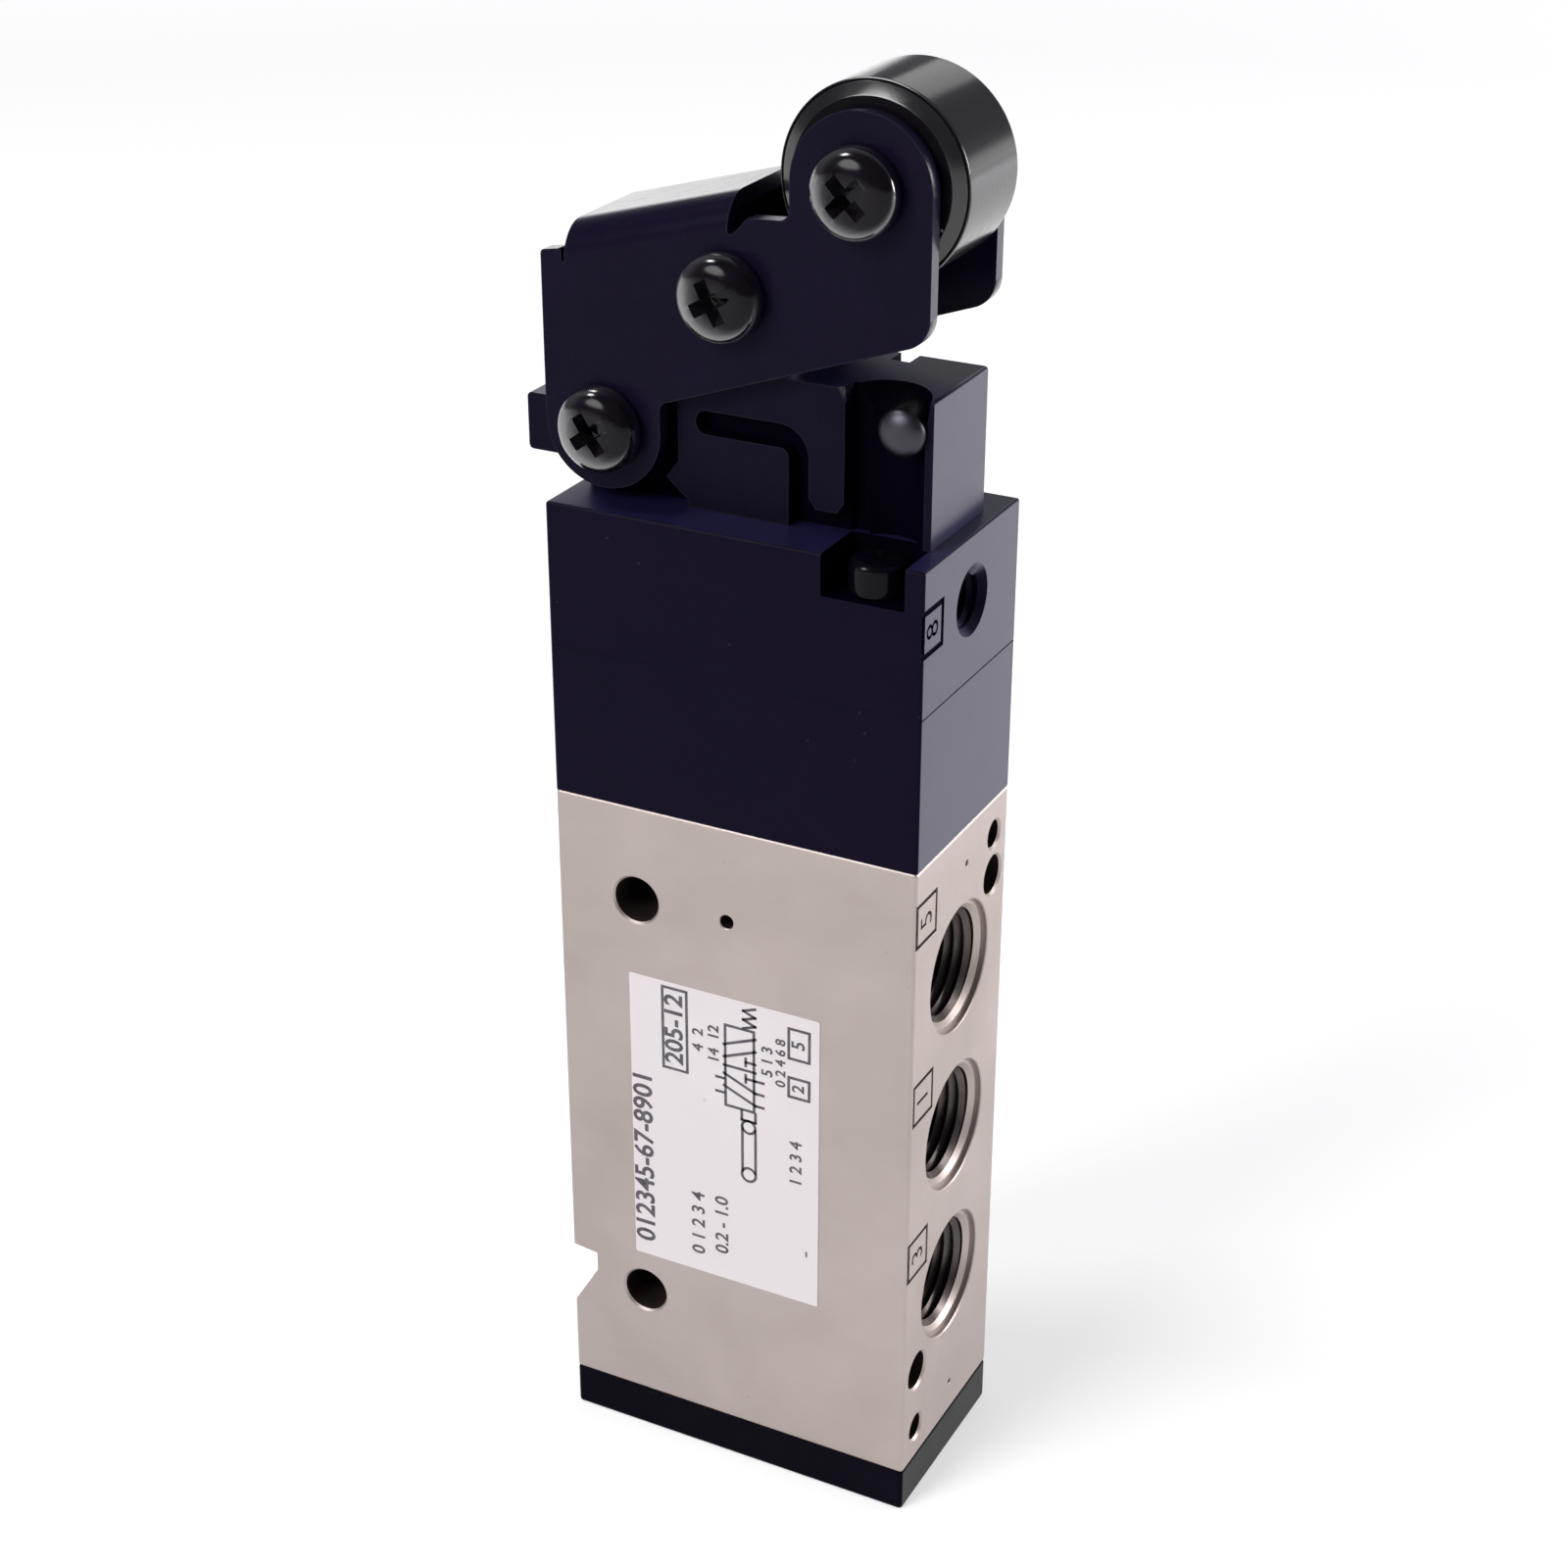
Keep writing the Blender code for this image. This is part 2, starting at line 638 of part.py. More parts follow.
def build_spool():
    profile = [(0.0, SPOOL_TOP), (2.5, SPOOL_TOP)]
    for z in reversed(SEAL_HEIGHTS):
        above = 2.5 if z == SEAL_HEIGHTS[-1] else NECK_RADIUS
        profile += [
            (above, z + LAND_HALF),
            (LAND_RADIUS, z + LAND_HALF),
            (LAND_RADIUS, z + GROOVE_HALF),
            (GROOVE_RADIUS, z + GROOVE_HALF),
            (GROOVE_RADIUS, z - GROOVE_HALF),
            (LAND_RADIUS, z - GROOVE_HALF),
        ]
        if z != SEAL_HEIGHTS[0]:
            profile += [(LAND_RADIUS, z - LAND_HALF), (NECK_RADIUS, z - LAND_HALF)]
    profile += [
        (LAND_RADIUS, SPOOL_BOTTOM + 0.4),
        (LAND_RADIUS - 0.4, SPOOL_BOTTOM),
        (POCKET_RADIUS, SPOOL_BOTTOM),
        (POCKET_RADIUS, POCKET_TOP),
        (0.0, POCKET_TOP),
    ]
    turned_part("spool", profile, "aluminium", faces=HIDDEN_FACES)
    for i, z in enumerate(SEAL_HEIGHTS):
        seal = ring_profile(SEAL_INNER, SEAL_OUTER, -SEAL_HALF, SEAL_HALF, 0.35)
        turned_part(f"spool_seal_{i + 1}", seal, "rubber", (0, 0, z), faces=HIDDEN_FACES, closed=True)


def build_piston():
    groove = PISTON_SEAL_Z
    profile = [
        (0.0, PISTON_TOP),
        (PISTON_RADIUS - 0.6, PISTON_TOP),
        (PISTON_RADIUS, PISTON_TOP - 0.6),
        (PISTON_RADIUS, groove + GROOVE_HALF),
        (PISTON_RADIUS - 1.3, groove + GROOVE_HALF),
        (PISTON_RADIUS - 1.3, groove - GROOVE_HALF),
        (PISTON_RADIUS, groove - GROOVE_HALF),
        (PISTON_RADIUS, PISTON_BOTTOM + 0.6),
        (PISTON_RADIUS - 0.6, PISTON_BOTTOM),
        (0.0, PISTON_BOTTOM),
    ]
    turned_part("piston", profile, "black_resin", faces=MEDIUM_FACES)
    ring = ring_profile(PISTON_RADIUS - 1.0, PISTON_RADIUS + 0.15, -SEAL_HALF, SEAL_HALF, 0.35)
    turned_part("piston_seal", ring, "rubber", (0, 0, groove), faces=MEDIUM_FACES, closed=True)


# Gaskets: flat sheets with rounded corners

def gasket(name, bottom, thick, half_x, half_y):
    mesh = box_mesh(name, (-half_x, -half_y, bottom), (half_x, half_y, bottom + thick))
    part = add_part(name, mesh, "rubber")
    return part


def gasket_recess(name, bottom):
    """The shallow pocket in a block's lower face that its gasket lies in."""
    half_x = GASKET_WIDTH / 2 + GAP
    half_y = GASKET_DEPTH / 2 + GAP
    top = bottom + GASKET_THICK + GAP
    return add_cutter(name, box_mesh(name, (-half_x, -half_y, bottom - LIP), (half_x, half_y, top)))


def corner_holes(part, radius, bottom, length):
    for side in (1, -1):
        place = (side * CORNER_SCREW[0], side * CORNER_SCREW[1], bottom)
        cut(part, bore_cutter(f"{part.name}_corner_{side}", radius, length, place, faces=SMALL_FACES))


# Piston housing: the lower black block

def build_piston_housing():
    housing = block("piston_housing", HOUSING_BOTTOM, HOUSING_TOP, "black_resin")
    cut(housing, gasket_recess("piston_gasket_recess", HOUSING_BOTTOM))
    below = HOUSING_BOTTOM - LIP
    cut(housing, bore_cutter("piston_bore", PISTON_BORE_RADIUS, PISTON_BORE_TOP - below, (0, 0, below)))
    pocket = (PILOT_X, 0, POPPET_POCKET_BOTTOM)
    pocket_length = HOUSING_TOP + LIP - POPPET_POCKET_BOTTOM
    cut(housing, bore_cutter("poppet_pocket", PILOT_BORE_RADIUS, pocket_length, pocket))
    passage = (PILOT_X, 0, PISTON_BORE_TOP - LIP)
    passage_length = POPPET_POCKET_BOTTOM - PISTON_BORE_TOP + 2 * LIP
    cut(housing, bore_cutter("pilot_passage", PASSAGE_RADIUS, passage_length, passage, faces=SMALL_FACES))
    corner_holes(housing, CORNER_HOLE_RADIUS, below, HOUSING_TOP - HOUSING_BOTTOM + 2 * LIP)
    flat = gasket("piston_gasket", HOUSING_BOTTOM, GASKET_THICK, GASKET_WIDTH / 2, GASKET_DEPTH / 2)
    cut(flat, bore_cutter("piston_gasket_hole", PISTON_BORE_RADIUS + 0.15, 3 * LIP, (0, 0, below)))
    corner_holes(flat, CORNER_HOLE_RADIUS, below, 3 * LIP)


# Pilot body: the upper black block

def exhaust_cutter():
    profile = [
        (0.0, 0.5),
        (EXHAUST_MOUTH_RADIUS + 0.5, 0.5),
        (EXHAUST_THREAD_RADIUS, EXHAUST_THREAD_RADIUS - EXHAUST_MOUTH_RADIUS),
        (EXHAUST_THREAD_RADIUS, -EXHAUST_THREAD_DEPTH),
        (EXHAUST_DRILL_RADIUS, -EXHAUST_THREAD_DEPTH - 0.8),
        (EXHAUST_DRILL_RADIUS, -EXHAUST_DRILL_DEPTH),
        (0.0, -EXHAUST_DRILL_DEPTH),
    ]
    return turned_cutter("exhaust_port", profile, (BODY_WIDTH / 2, 0, EXHAUST_Z), "X")


def corner_notch(side):
    """The notch that seats a corner screw's head, open to the front or the back and to the top."""
    x = side * CORNER_SCREW[0]
    outer = -side * (BODY_DEPTH / 2 + 1)
    inner = -side * (BODY_DEPTH / 2 - CORNER_NOTCH_DEPTH)
    low = (x - NOTCH_HALF_WIDTH, min(outer, inner), NOTCH_FLOOR)
    high = (x + NOTCH_HALF_WIDTH, max(outer, inner), PILOT_TOP + 1)
    return add_cutter(f"corner_notch_{side}", box_mesh(f"corner_notch_{side}", low, high))


def build_pilot_body():
    body = block("pilot_body", PILOT_BOTTOM, PILOT_TOP, "black_resin")
    cut(body, gasket_recess("pilot_gasket_recess", PILOT_BOTTOM))
    below = PILOT_BOTTOM - LIP
    length = PILOT_TOP - PILOT_BOTTOM + 2 * LIP
    foot = (PILOT_X, 0, below)
    cut(body, bore_cutter("pilot_bore_lower", PILOT_BORE_RADIUS, PILOT_SHELF_BOTTOM - below, foot))
    upper = PILOT_TOP + LIP - PILOT_SHELF_TOP
    cut(body, bore_cutter("pilot_bore_upper", PILOT_BORE_RADIUS, upper, (PILOT_X, 0, PILOT_SHELF_TOP)))
    cut(body, bore_cutter("pilot_shelf_hole", SHELF_HOLE_RADIUS, length, foot, faces=SMALL_FACES))
    cut(body, exhaust_cutter())
    for side in (1, -1):
        cut(body, corner_notch(side))
    head_room = BRACKET_SCREW_SEAT + GAP - below
    head_radius, _, shank_radius = BRACKET_SCREW_SIZE
    for name, (x, y) in BRACKET_SCREWS.items():
        foot = (x, y, below)
        cut(body, bore_cutter(f"screw_counterbore_{name}", head_radius + GAP, head_room, foot, faces=SMALL_FACES))
        cut(body, bore_cutter(f"screw_clearance_{name}", shank_radius + GAP, length, foot, faces=SMALL_FACES))
    corner_holes(body, CORNER_HOLE_RADIUS, below, length)
    flat = gasket("pilot_gasket", PILOT_BOTTOM, GASKET_THICK, GASKET_WIDTH / 2, GASKET_DEPTH / 2)
    cut(flat, bore_cutter("pilot_gasket_hole", PILOT_BORE_RADIUS + 0.2, 3 * LIP, (PILOT_X, 0, below)))
    corner_holes(flat, CORNER_HOLE_RADIUS, below, 3 * LIP)


def build_corner_screws():
    for name, side in (("front", 1), ("rear", -1)):
        place = (side * CORNER_SCREW[0], side * CORNER_SCREW[1], NOTCH_FLOOR + GAP)
        upright_screw(f"pilot_body_screw_{name}", CORNER_SCREW_SIZE, CORNER_SCREW_LENGTH, place, "black_screw")
    size, length = BRACKET_SCREW_SIZE, BRACKET_SCREW_LENGTH
    for name, (x, y) in BRACKET_SCREWS.items():
        place = (x, y, BRACKET_SCREW_SEAT)
        upright_screw(f"bracket_screw_{name}", size, length, place, "bright_steel", head_up=False)


# Pilot stage: plunger, seal, seat and poppet

def build_pilot_stage():
    axis = (PILOT_X, 0, 0)
    bush = [
        (BUSH_FLANGE_RADIUS, BUSH_TOP),
        (BUSH_FLANGE_RADIUS, BUSH_FLANGE_BOTTOM),
        (BUSH_OUTER, BUSH_FLANGE_BOTTOM),
        (BUSH_OUTER, BUSH_BOTTOM),
        (BUSH_INNER, BUSH_BOTTOM),
        (BUSH_INNER, BUSH_TOP),
    ]
    turned_part("guide_bush", bush, "brass", axis, faces=MEDIUM_FACES, closed=True)
    turned_part("plunger", PLUNGER_PROFILE, "bright_steel", axis, faces=MEDIUM_FACES)
    seal_bottom = PILOT_SHELF_TOP + GAP
    seal_top = seal_bottom + 1.3
    seal = ring_profile(SEAL_BORE_INNER, SEAL_BORE_OUTER, seal_bottom, seal_top, 0.4)
    turned_part("stem_seal", seal, "rubber", axis, closed=True)
    washer = ring_profile(SEAL_BORE_INNER + 0.1, SEAL_BORE_OUTER, seal_top + GAP, seal_top + GAP + 0.7)
    turned_part("seal_washer", washer, "bright_steel", axis, closed=True)
    turned_part("poppet_seat", SEAT_PROFILE, "brass", axis, closed=True)
    turned_part("poppet", POPPET_PROFILE, "rubber", axis)
    for name, (radius, wire, bottom, top, turns) in SPRINGS.items():
        coil(name, radius, wire, bottom, top, turns, axis)
    radius, wire, turns = SPOOL_SPRING
    coil("spool_spring", radius, wire, MAIN_BOTTOM, POCKET_TOP - GAP, turns, (0, 0, 0))


# Head bracket: the casting that carries the lever

def bracket_outline():
    boss_left = PIVOT[0] - 5.2
    boss_top = PIVOT[1] + 5.0
    return rounded_outline(
        [
            (BRACKET_LEFT, BRACKET_BOTTOM, 0),
            (BRACKET_RIGHT, BRACKET_BOTTOM, 0),
            (BRACKET_RIGHT, BRACKET_TOP, 0.4),
            (PAD_LEFT - 0.2, BRACKET_TOP, 0.5),
            (PAD_LEFT - 0.8, boss_top, 0),
            (boss_left, boss_top, 3.8),
            (boss_left, LUG_TOP, 0),
            (LUG_LEFT, LUG_TOP, 0.5),
            (LUG_LEFT, LUG_BOTTOM, 0.5),
            (BRACKET_LEFT - LIP, LUG_BOTTOM, 1.0),
        ]
    )


def arch_outline():
    """The groove over and right of the pad, open at the foot."""
    below = BRACKET_BOTTOM - LIP
    return rounded_outline(
        [
            (ARCH_LEFT, PAD_TOP, 0.8),
            (PAD_RIGHT, PAD_TOP, 0.8),
            (PAD_RIGHT, below, 0),
            (ARCH_RIGHT, below, 0),
            (ARCH_RIGHT, ARCH_TOP, 2.5),
            (ARCH_LEFT, ARCH_TOP, 0.8),
        ]
    )


def boss_side_outline():
    """The face set back between the pivot boss, the pad and the foot."""
    below = BRACKET_BOTTOM - LIP
    first, last, steps = 55, -125, 12
    outline = [(PAD_LEFT + 0.8, below), (PAD_LEFT + 0.8, 88.9), (PAD_LEFT - 1.1, 90.5), (PAD_LEFT, 92.0)]
    outline.append((PAD_LEFT, PIVOT[1] + BOSS_RADIUS))
    for i in range(steps + 1):
        angle = math.radians(first + (last - first) * i / steps)
        outline.append((PIVOT[0] + BOSS_RADIUS * math.cos(angle), PIVOT[1] + BOSS_RADIUS * math.sin(angle)))
    outline.append((BRACKET_LEFT - LIP, RIB_END))
    outline.append((BRACKET_LEFT - 2 * LIP, RIB_END))
    outline.append((BRACKET_LEFT - 2 * LIP, below))
    return outline


def rib_end_outline():
    """The face set back below the rib, whose end tapers."""
    left = ARCH_RIGHT - 0.1
    right = SLOT_LEFT + 0.1
    below = BRACKET_BOTTOM - LIP
    taper = 0.7
    return [
        (left, below),
        (right, below),
        (right, RIB_END + 1),
        (right - taper, RIB_END),
        (left + taper, RIB_END),
        (left, RIB_END + 1),
    ]


def bracket_pocket(name, outline, depth, side):
    """A shallow pocket in the bracket's front or back face."""
    half = 3.0
    mesh = outline_mesh(name, outline, half)
    return add_cutter(name, mesh, (0, side * (BRACKET_HALF - depth + half), 0))


def build_head_bracket():
    mesh = outline_mesh("head_bracket", bracket_outline(), BRACKET_HALF)
    bracket = add_part("head_bracket", mesh, "black_casting")
    below = BRACKET_BOTTOM - LIP
    through = BRACKET_TOP - BRACKET_BOTTOM + 2 * LIP
    above = BRACKET_TOP + LIP
    slot = [(SLOT_LEFT, below), (SLOT_RIGHT, below), (SLOT_RIGHT, above), (SLOT_LEFT, above)]
    for name, side in (("front", -1), ("back", 1)):
        cut(bracket, bracket_pocket(f"arch_groove_{name}", arch_outline(), SET_BACK, side))
        cut(bracket, bracket_pocket(f"boss_side_{name}", boss_side_outline(), SET_BACK, side))
        cut(bracket, bracket_pocket(f"rib_end_{name}", rib_end_outline(), SET_BACK, side))
        cut(bracket, bracket_pocket(f"slot_groove_{name}", slot, SLOT_DEPTH, side))
    for side in (1, -1):
        place = (side * CORNER_SCREW[0], side * CORNER_SCREW[1], below)
        cut(bracket, bore_cutter(f"driver_groove_{side}", DRIVER_GROOVE_RADIUS, through, place))
    thread_length = BRACKET_SCREW_SEAT + BRACKET_SCREW_LENGTH + 0.8 - below
    thread_radius = BRACKET_SCREW_SIZE[2] + 0.2
    for name, (x, y) in BRACKET_SCREWS.items():
        foot = (x, y, below)
        cut(bracket, bore_cutter(f"screw_thread_{name}", thread_radius, thread_length, foot, faces=SMALL_FACES))
    cut(bracket, bore_cutter("plunger_bore", BUSH_OUTER + GAP, through, (PILOT_X, 0, below)))
    recess_depth = GASKET_THICK + GAP + LIP
    cut(bracket, bore_cutter("ring_recess", SEAL_RECESS_RADIUS, recess_depth, (PILOT_X, 0, below)))
    flange = (PILOT_X, 0, BUSH_FLANGE_BOTTOM - GAP)
    cut(bracket, bore_cutter("bush_flange_seat", BUSH_FLANGE_RADIUS + GAP, 3 * LIP, flange))
    front = -BRACKET_HALF - LIP
    across = 2 * BRACKET_HALF + 2 * LIP
    bores = {"pivot": (PIVOT, BUSH_RADIUS + 0.15), "pin": (STOP_PIN, STOP_PIN_RADIUS + 0.2)}
    for name, ((x, z), radius) in bores.items():
        cut(bracket, bore_cutter(f"{name}_bore", radius, across, (x, front, z), "Y"))
    ring_top = BRACKET_BOTTOM + GASKET_THICK
    ring = ring_profile(BUSH_OUTER + GAP + 0.2, SEAL_RECESS_RADIUS - 0.2, BRACKET_BOTTOM, ring_top, 0.1)
    turned_part("bracket_gasket", ring, "rubber", (PILOT_X, 0, 0), faces=MEDIUM_FACES, closed=True)


def build_stop_pin():
    half = STOP_PIN_HALF
    profile = [
        (0.0, half),
        (1.0, half - 0.12),
        (1.6, half - 0.45),
        (STOP_PIN_RADIUS, half - 0.95),
        (STOP_PIN_RADIUS, -half + 0.95),
        (1.6, -half + 0.45),
        (1.0, -half + 0.12),
        (0.0, -half),
    ]
    turned_part("stop_pin", profile, "bright_steel", (STOP_PIN[0], 0, STOP_PIN[1]), "Y")


# Lever: a bent channel with two ears, and what turns on it

def lever_outline():
    axle_x, axle_z = AXLE
    left = PIVOT_EAR_LEFT
    ear_right = left + 2 * PIVOT_EAR_RADIUS
    right = axle_x + AXLE_EAR_RADIUS
    return rounded_outline(
        [
            (left, PIVOT_EAR_BOTTOM, PIVOT_EAR_RADIUS),
            (ear_right, PIVOT_EAR_BOTTOM, PIVOT_EAR_RADIUS),
            (ear_right, EDGE_START, 0.8),
            (right, EDGE_START + EDGE_SLOPE * (right - ear_right), LEVER_CORNER_RADIUS),
            (right, axle_z + AXLE_EAR_RADIUS, AXLE_EAR_RADIUS),
            (axle_x - AXLE_EAR_RADIUS, axle_z + AXLE_EAR_RADIUS, AXLE_EAR_RADIUS),
            (axle_x - AXLE_EAR_RADIUS, PLATE_RIGHT_TOP, 0.8),
            (WEB_RIGHT + 1.7, PLATE_RIGHT_TOP - 0.2, 0.3),
            (WEB_RIGHT + 0.4, WEB_RIGHT_TOP - RELIEF_DEPTH, 0),
            (WEB_RIGHT, WEB_RIGHT_TOP - RELIEF_DEPTH, 0),
            (WEB_RIGHT, WEB_RIGHT_TOP, 0),
            (WEB_LEFT, WEB_LEFT_TOP, 0),
            (WEB_LEFT, WEB_LEFT_TOP - RELIEF_DEPTH, 0),
            (WEB_LEFT - 0.25, WEB_LEFT_TOP - RELIEF_DEPTH, 0),
            (WEB_LEFT - 0.3, PLATE_LEFT_TOP + 0.3, 0.2),
            (left, PLATE_LEFT_TOP, 0.4),
        ]
    )


def channel_outline():
    """What is removed between the side plates: everything but the web."""
    drop = SHEET / math.cos(math.atan2(WEB_RIGHT_TOP - WEB_LEFT_TOP, WEB_RIGHT - WEB_LEFT))
    low, high, far = 80.0, 130.0, 40.0
    return [
        (-far, low),
        (far, low),
        (far, high),
        (WEB_RIGHT, high),
        (WEB_RIGHT, WEB_RIGHT_TOP - drop),
        (WEB_LEFT, WEB_LEFT_TOP - drop),
        (WEB_LEFT, high),
        (-far, high),
    ]


def build_lever():
    mesh = outline_mesh("lever", lever_outline(), LEVER_HALF)
    line = ((WEB_LEFT, WEB_LEFT_TOP), (WEB_RIGHT, WEB_RIGHT_TOP))
    round_web_edges(mesh, BEND_RADIUS, LEVER_HALF, *line)
    lever = add_part("lever", mesh, "black_sheet")
    inside = channel_outline()
    channel = outline_mesh("lever_channel", inside, LEVER_HALF - SHEET)
    round_web_edges(channel, BEND_RADIUS - SHEET, LEVER_HALF - SHEET, inside[5], inside[4])
    cut(lever, add_cutter("lever_channel", channel))
    front = -LEVER_HALF - LIP
    across = 2 * LEVER_HALF + 2 * LIP
    for name, (x, z) in (("pivot", PIVOT), ("press", PRESS), ("axle", AXLE)):
        hole = bore_cutter(f"lever_hole_{name}", SHANK_RADIUS + 0.2, across, (x, front, z), "Y", SMALL_FACES)
        cut(lever, hole)
    move_origin(lever, (PIVOT[0], 0, PIVOT[1]))


def move_origin(part, place):
    """Puts a moving piece's origin on its joint's axis, with the shape where it was."""
    offset = Vector(place) * MM
    part.data.transform(Matrix.Translation(-offset))
    part.location = offset


def build_lever_screws():
    under_head = -LEVER_HALF - GAP
    nut_face = LEVER_HALF + GAP
    for name, (x, z) in (("pivot", PIVOT), ("press", PRESS), ("axle", AXLE)):
        pan_screw(f"{name}_screw", (x, under_head, z))
        near_nut = (x, nut_face - LIP, z)
        through = NUT_THICK + 2 * LIP
        bore = bore_cutter(f"nut_bore_{name}", SHANK_RADIUS + 0.2, through, near_nut, "Y", SMALL_FACES)
        hex_nut(f"{name}_nut", (x, nut_face, z), bore)
    bush = ring_profile(SHANK_RADIUS + 0.2, BUSH_RADIUS, -BUSH_HALF, BUSH_HALF, 0.2)
    turned_part("pivot_bush", bush, "bright_steel", (PIVOT[0], 0, PIVOT[1]), "Y", closed=True)
    turned_part("axle_bush", bush, "bright_steel", (AXLE[0], 0, AXLE[1]), "Y", closed=True)


def build_rollers():
    bore = BUSH_RADIUS + 0.15
    section = [
        (ROLLER_FACE_RADIUS, ROLLER_HALF),
        (ROLLER_RIM_RADIUS, ROLLER_RIM_HALF),
        (ROLLER_RADIUS, ROLLER_RIM_HALF - 0.1),
        (ROLLER_RADIUS, -ROLLER_RIM_HALF + 0.1),
        (ROLLER_RIM_RADIUS, -ROLLER_RIM_HALF),
        (ROLLER_FACE_RADIUS, -ROLLER_HALF),
        (bore, -ROLLER_HALF),
        (bore, ROLLER_HALF),
    ]
    axle = (AXLE[0], 0, AXLE[1])
    turned_part("end_roller", section, "roller_steel", axle, "Y", faces=ROUND_FACES, closed=True)
    half = PRESS_ROLLER_HALF
    press = ring_profile(SHANK_RADIUS + 0.15, PRESS_ROLLER_RADIUS, -half, half, 0.3)
    axle = (PRESS[0], 0, PRESS[1])
    turned_part("press_roller", press, "bright_steel", axle, "Y", faces=MEDIUM_FACES, closed=True)


build_end_cover()
build_main_body()
build_spool()
build_piston()
build_piston_housing()
build_pilot_body()
build_corner_screws()
build_pilot_stage()
build_head_bracket()
build_stop_pin()
build_lever()
build_lever_screws()
build_rollers()

for piece in PARTS.objects:
    if piece.type == "MESH":
        shade(piece.data)
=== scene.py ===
import math

import bmesh
import bpy
from mathutils import Matrix, Vector


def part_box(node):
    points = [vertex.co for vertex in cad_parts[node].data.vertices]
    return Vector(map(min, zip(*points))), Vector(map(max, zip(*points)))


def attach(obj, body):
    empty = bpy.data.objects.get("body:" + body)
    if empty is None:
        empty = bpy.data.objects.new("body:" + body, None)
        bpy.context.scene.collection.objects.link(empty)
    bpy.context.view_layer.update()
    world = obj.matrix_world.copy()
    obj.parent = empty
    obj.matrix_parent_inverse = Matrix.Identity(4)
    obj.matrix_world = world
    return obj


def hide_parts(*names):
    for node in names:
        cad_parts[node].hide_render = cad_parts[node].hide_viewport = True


# Roller lever air valve: finishes, threads, label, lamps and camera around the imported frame.
# Sizes below are in millimetres and become metres where a mesh is made.

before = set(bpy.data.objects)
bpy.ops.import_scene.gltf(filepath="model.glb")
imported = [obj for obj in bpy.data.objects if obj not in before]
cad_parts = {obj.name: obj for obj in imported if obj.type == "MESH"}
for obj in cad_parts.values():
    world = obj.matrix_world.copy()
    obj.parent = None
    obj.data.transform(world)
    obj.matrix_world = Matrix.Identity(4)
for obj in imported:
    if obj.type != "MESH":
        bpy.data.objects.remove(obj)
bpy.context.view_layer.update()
print("frame loaded:", len(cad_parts), "nodes")

mm = 0.001


def boxOf(node):
    low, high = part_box(node)
    return low / mm, high / mm


# camera

cameraSettings = {
    "azimuth": 27.22,
    "elevation": 26.38,
    "roll": 0.10,
    "place": (95.05, -184.53, 166.28),
    "focalPixels": 2865.0,
    "framePixels": 1600.0,
    "sensorWidth": 36.0,
}


def addCamera(settings):
    turn = math.radians(settings["azimuth"])
    lift = math.radians(settings["elevation"])
    roll = math.radians(settings["roll"])
    back = Vector((math.sin(turn) * math.cos(lift), -math.cos(turn) * math.cos(lift), math.sin(lift)))
    level = Vector((math.cos(turn), math.sin(turn), 0.0))
    over = back.cross(level)
    right = level * math.cos(roll) + over * math.sin(roll)
    up = over * math.cos(roll) - level * math.sin(roll)
    lens = bpy.data.cameras.new("photoCamera")
    lens.sensor_width = settings["sensorWidth"]
    lens.lens = settings["focalPixels"] / settings["framePixels"] * settings["sensorWidth"]
    lens.clip_start = 0.005
    lens.clip_end = 20.0
    camera = bpy.data.objects.new("photoCamera", lens)
    facing = Matrix((right, up, back)).transposed().to_4x4()
    camera.matrix_world = Matrix.Translation(Vector(settings["place"]) * mm) @ facing
    bpy.context.scene.collection.objects.link(camera)
    bpy.context.scene.camera = camera


addCamera(cameraSettings)
bpy.context.scene.view_settings.view_transform = "Standard"
print("camera placed")


# shader groups

def fill(tree, node, values):
    # a socket is linked, anything else is set as the input's own value
    for key, value in values.items():
        if isinstance(value, bpy.types.NodeSocket):
            tree.links.new(value, node.inputs[key])
        else:
            node.inputs[key].default_value = value


def addNode(tree, kind, values=None, **properties):
    node = tree.nodes.new(kind)
    for key, value in properties.items():
        setattr(node, key, value)
    fill(tree, node, values or {})
    return node


def addMath(tree, operation, first, second=None, clamp=False):
    values = {0: first} if second is None else {0: first, 1: second}
    return addNode(tree, "ShaderNodeMath", values, operation=operation, use_clamp=clamp).outputs[0]


def addNoise(tree, point, scale, detail, roughness=0.5, distortion=0.0):
    values = {"Vector": point, "Scale": scale, "Detail": detail, "Roughness": roughness, "Distortion": distortion}
    return addNode(tree, "ShaderNodeTexNoise", values).outputs["Fac"]


def objectPoint(tree):
    return addNode(tree, "ShaderNodeTexCoord").outputs["Object"]


def startGroup(name, inputs, output):
    # the inputs are numbers with their usual values, or a vector where that is None
    group = bpy.data.node_groups.new(name, "ShaderNodeTree")
    for label, value in inputs.items():
        kind = "NodeSocketVector" if value is None else "NodeSocketFloat"
        socket = group.interface.new_socket(label, in_out="INPUT", socket_type=kind)
        if value is not None:
            socket.default_value = value
    group.interface.new_socket(output, in_out="OUTPUT", socket_type="NodeSocketFloat")
    return group, group.nodes.new("NodeGroupInput").outputs, group.nodes.new("NodeGroupOutput").inputs[output]


def buildGrainGroup():
    # fine bumps of a blasted or moulded skin, with a coarser swell under them
    group, start, height = startGroup("fineGrain", {"Scale": 3000.0, "Swell": 0.3}, "Height")
    point = objectPoint(group)
    fine = addNoise(group, point, start["Scale"], 3.0, 0.6)
    broad = addNoise(group, point, addMath(group, "MULTIPLY", start["Scale"], 0.12), 2.0)
    swell = addMath(group, "MULTIPLY", broad, start["Swell"])
    group.links.new(addMath(group, "ADD", fine, swell), height)
    return group


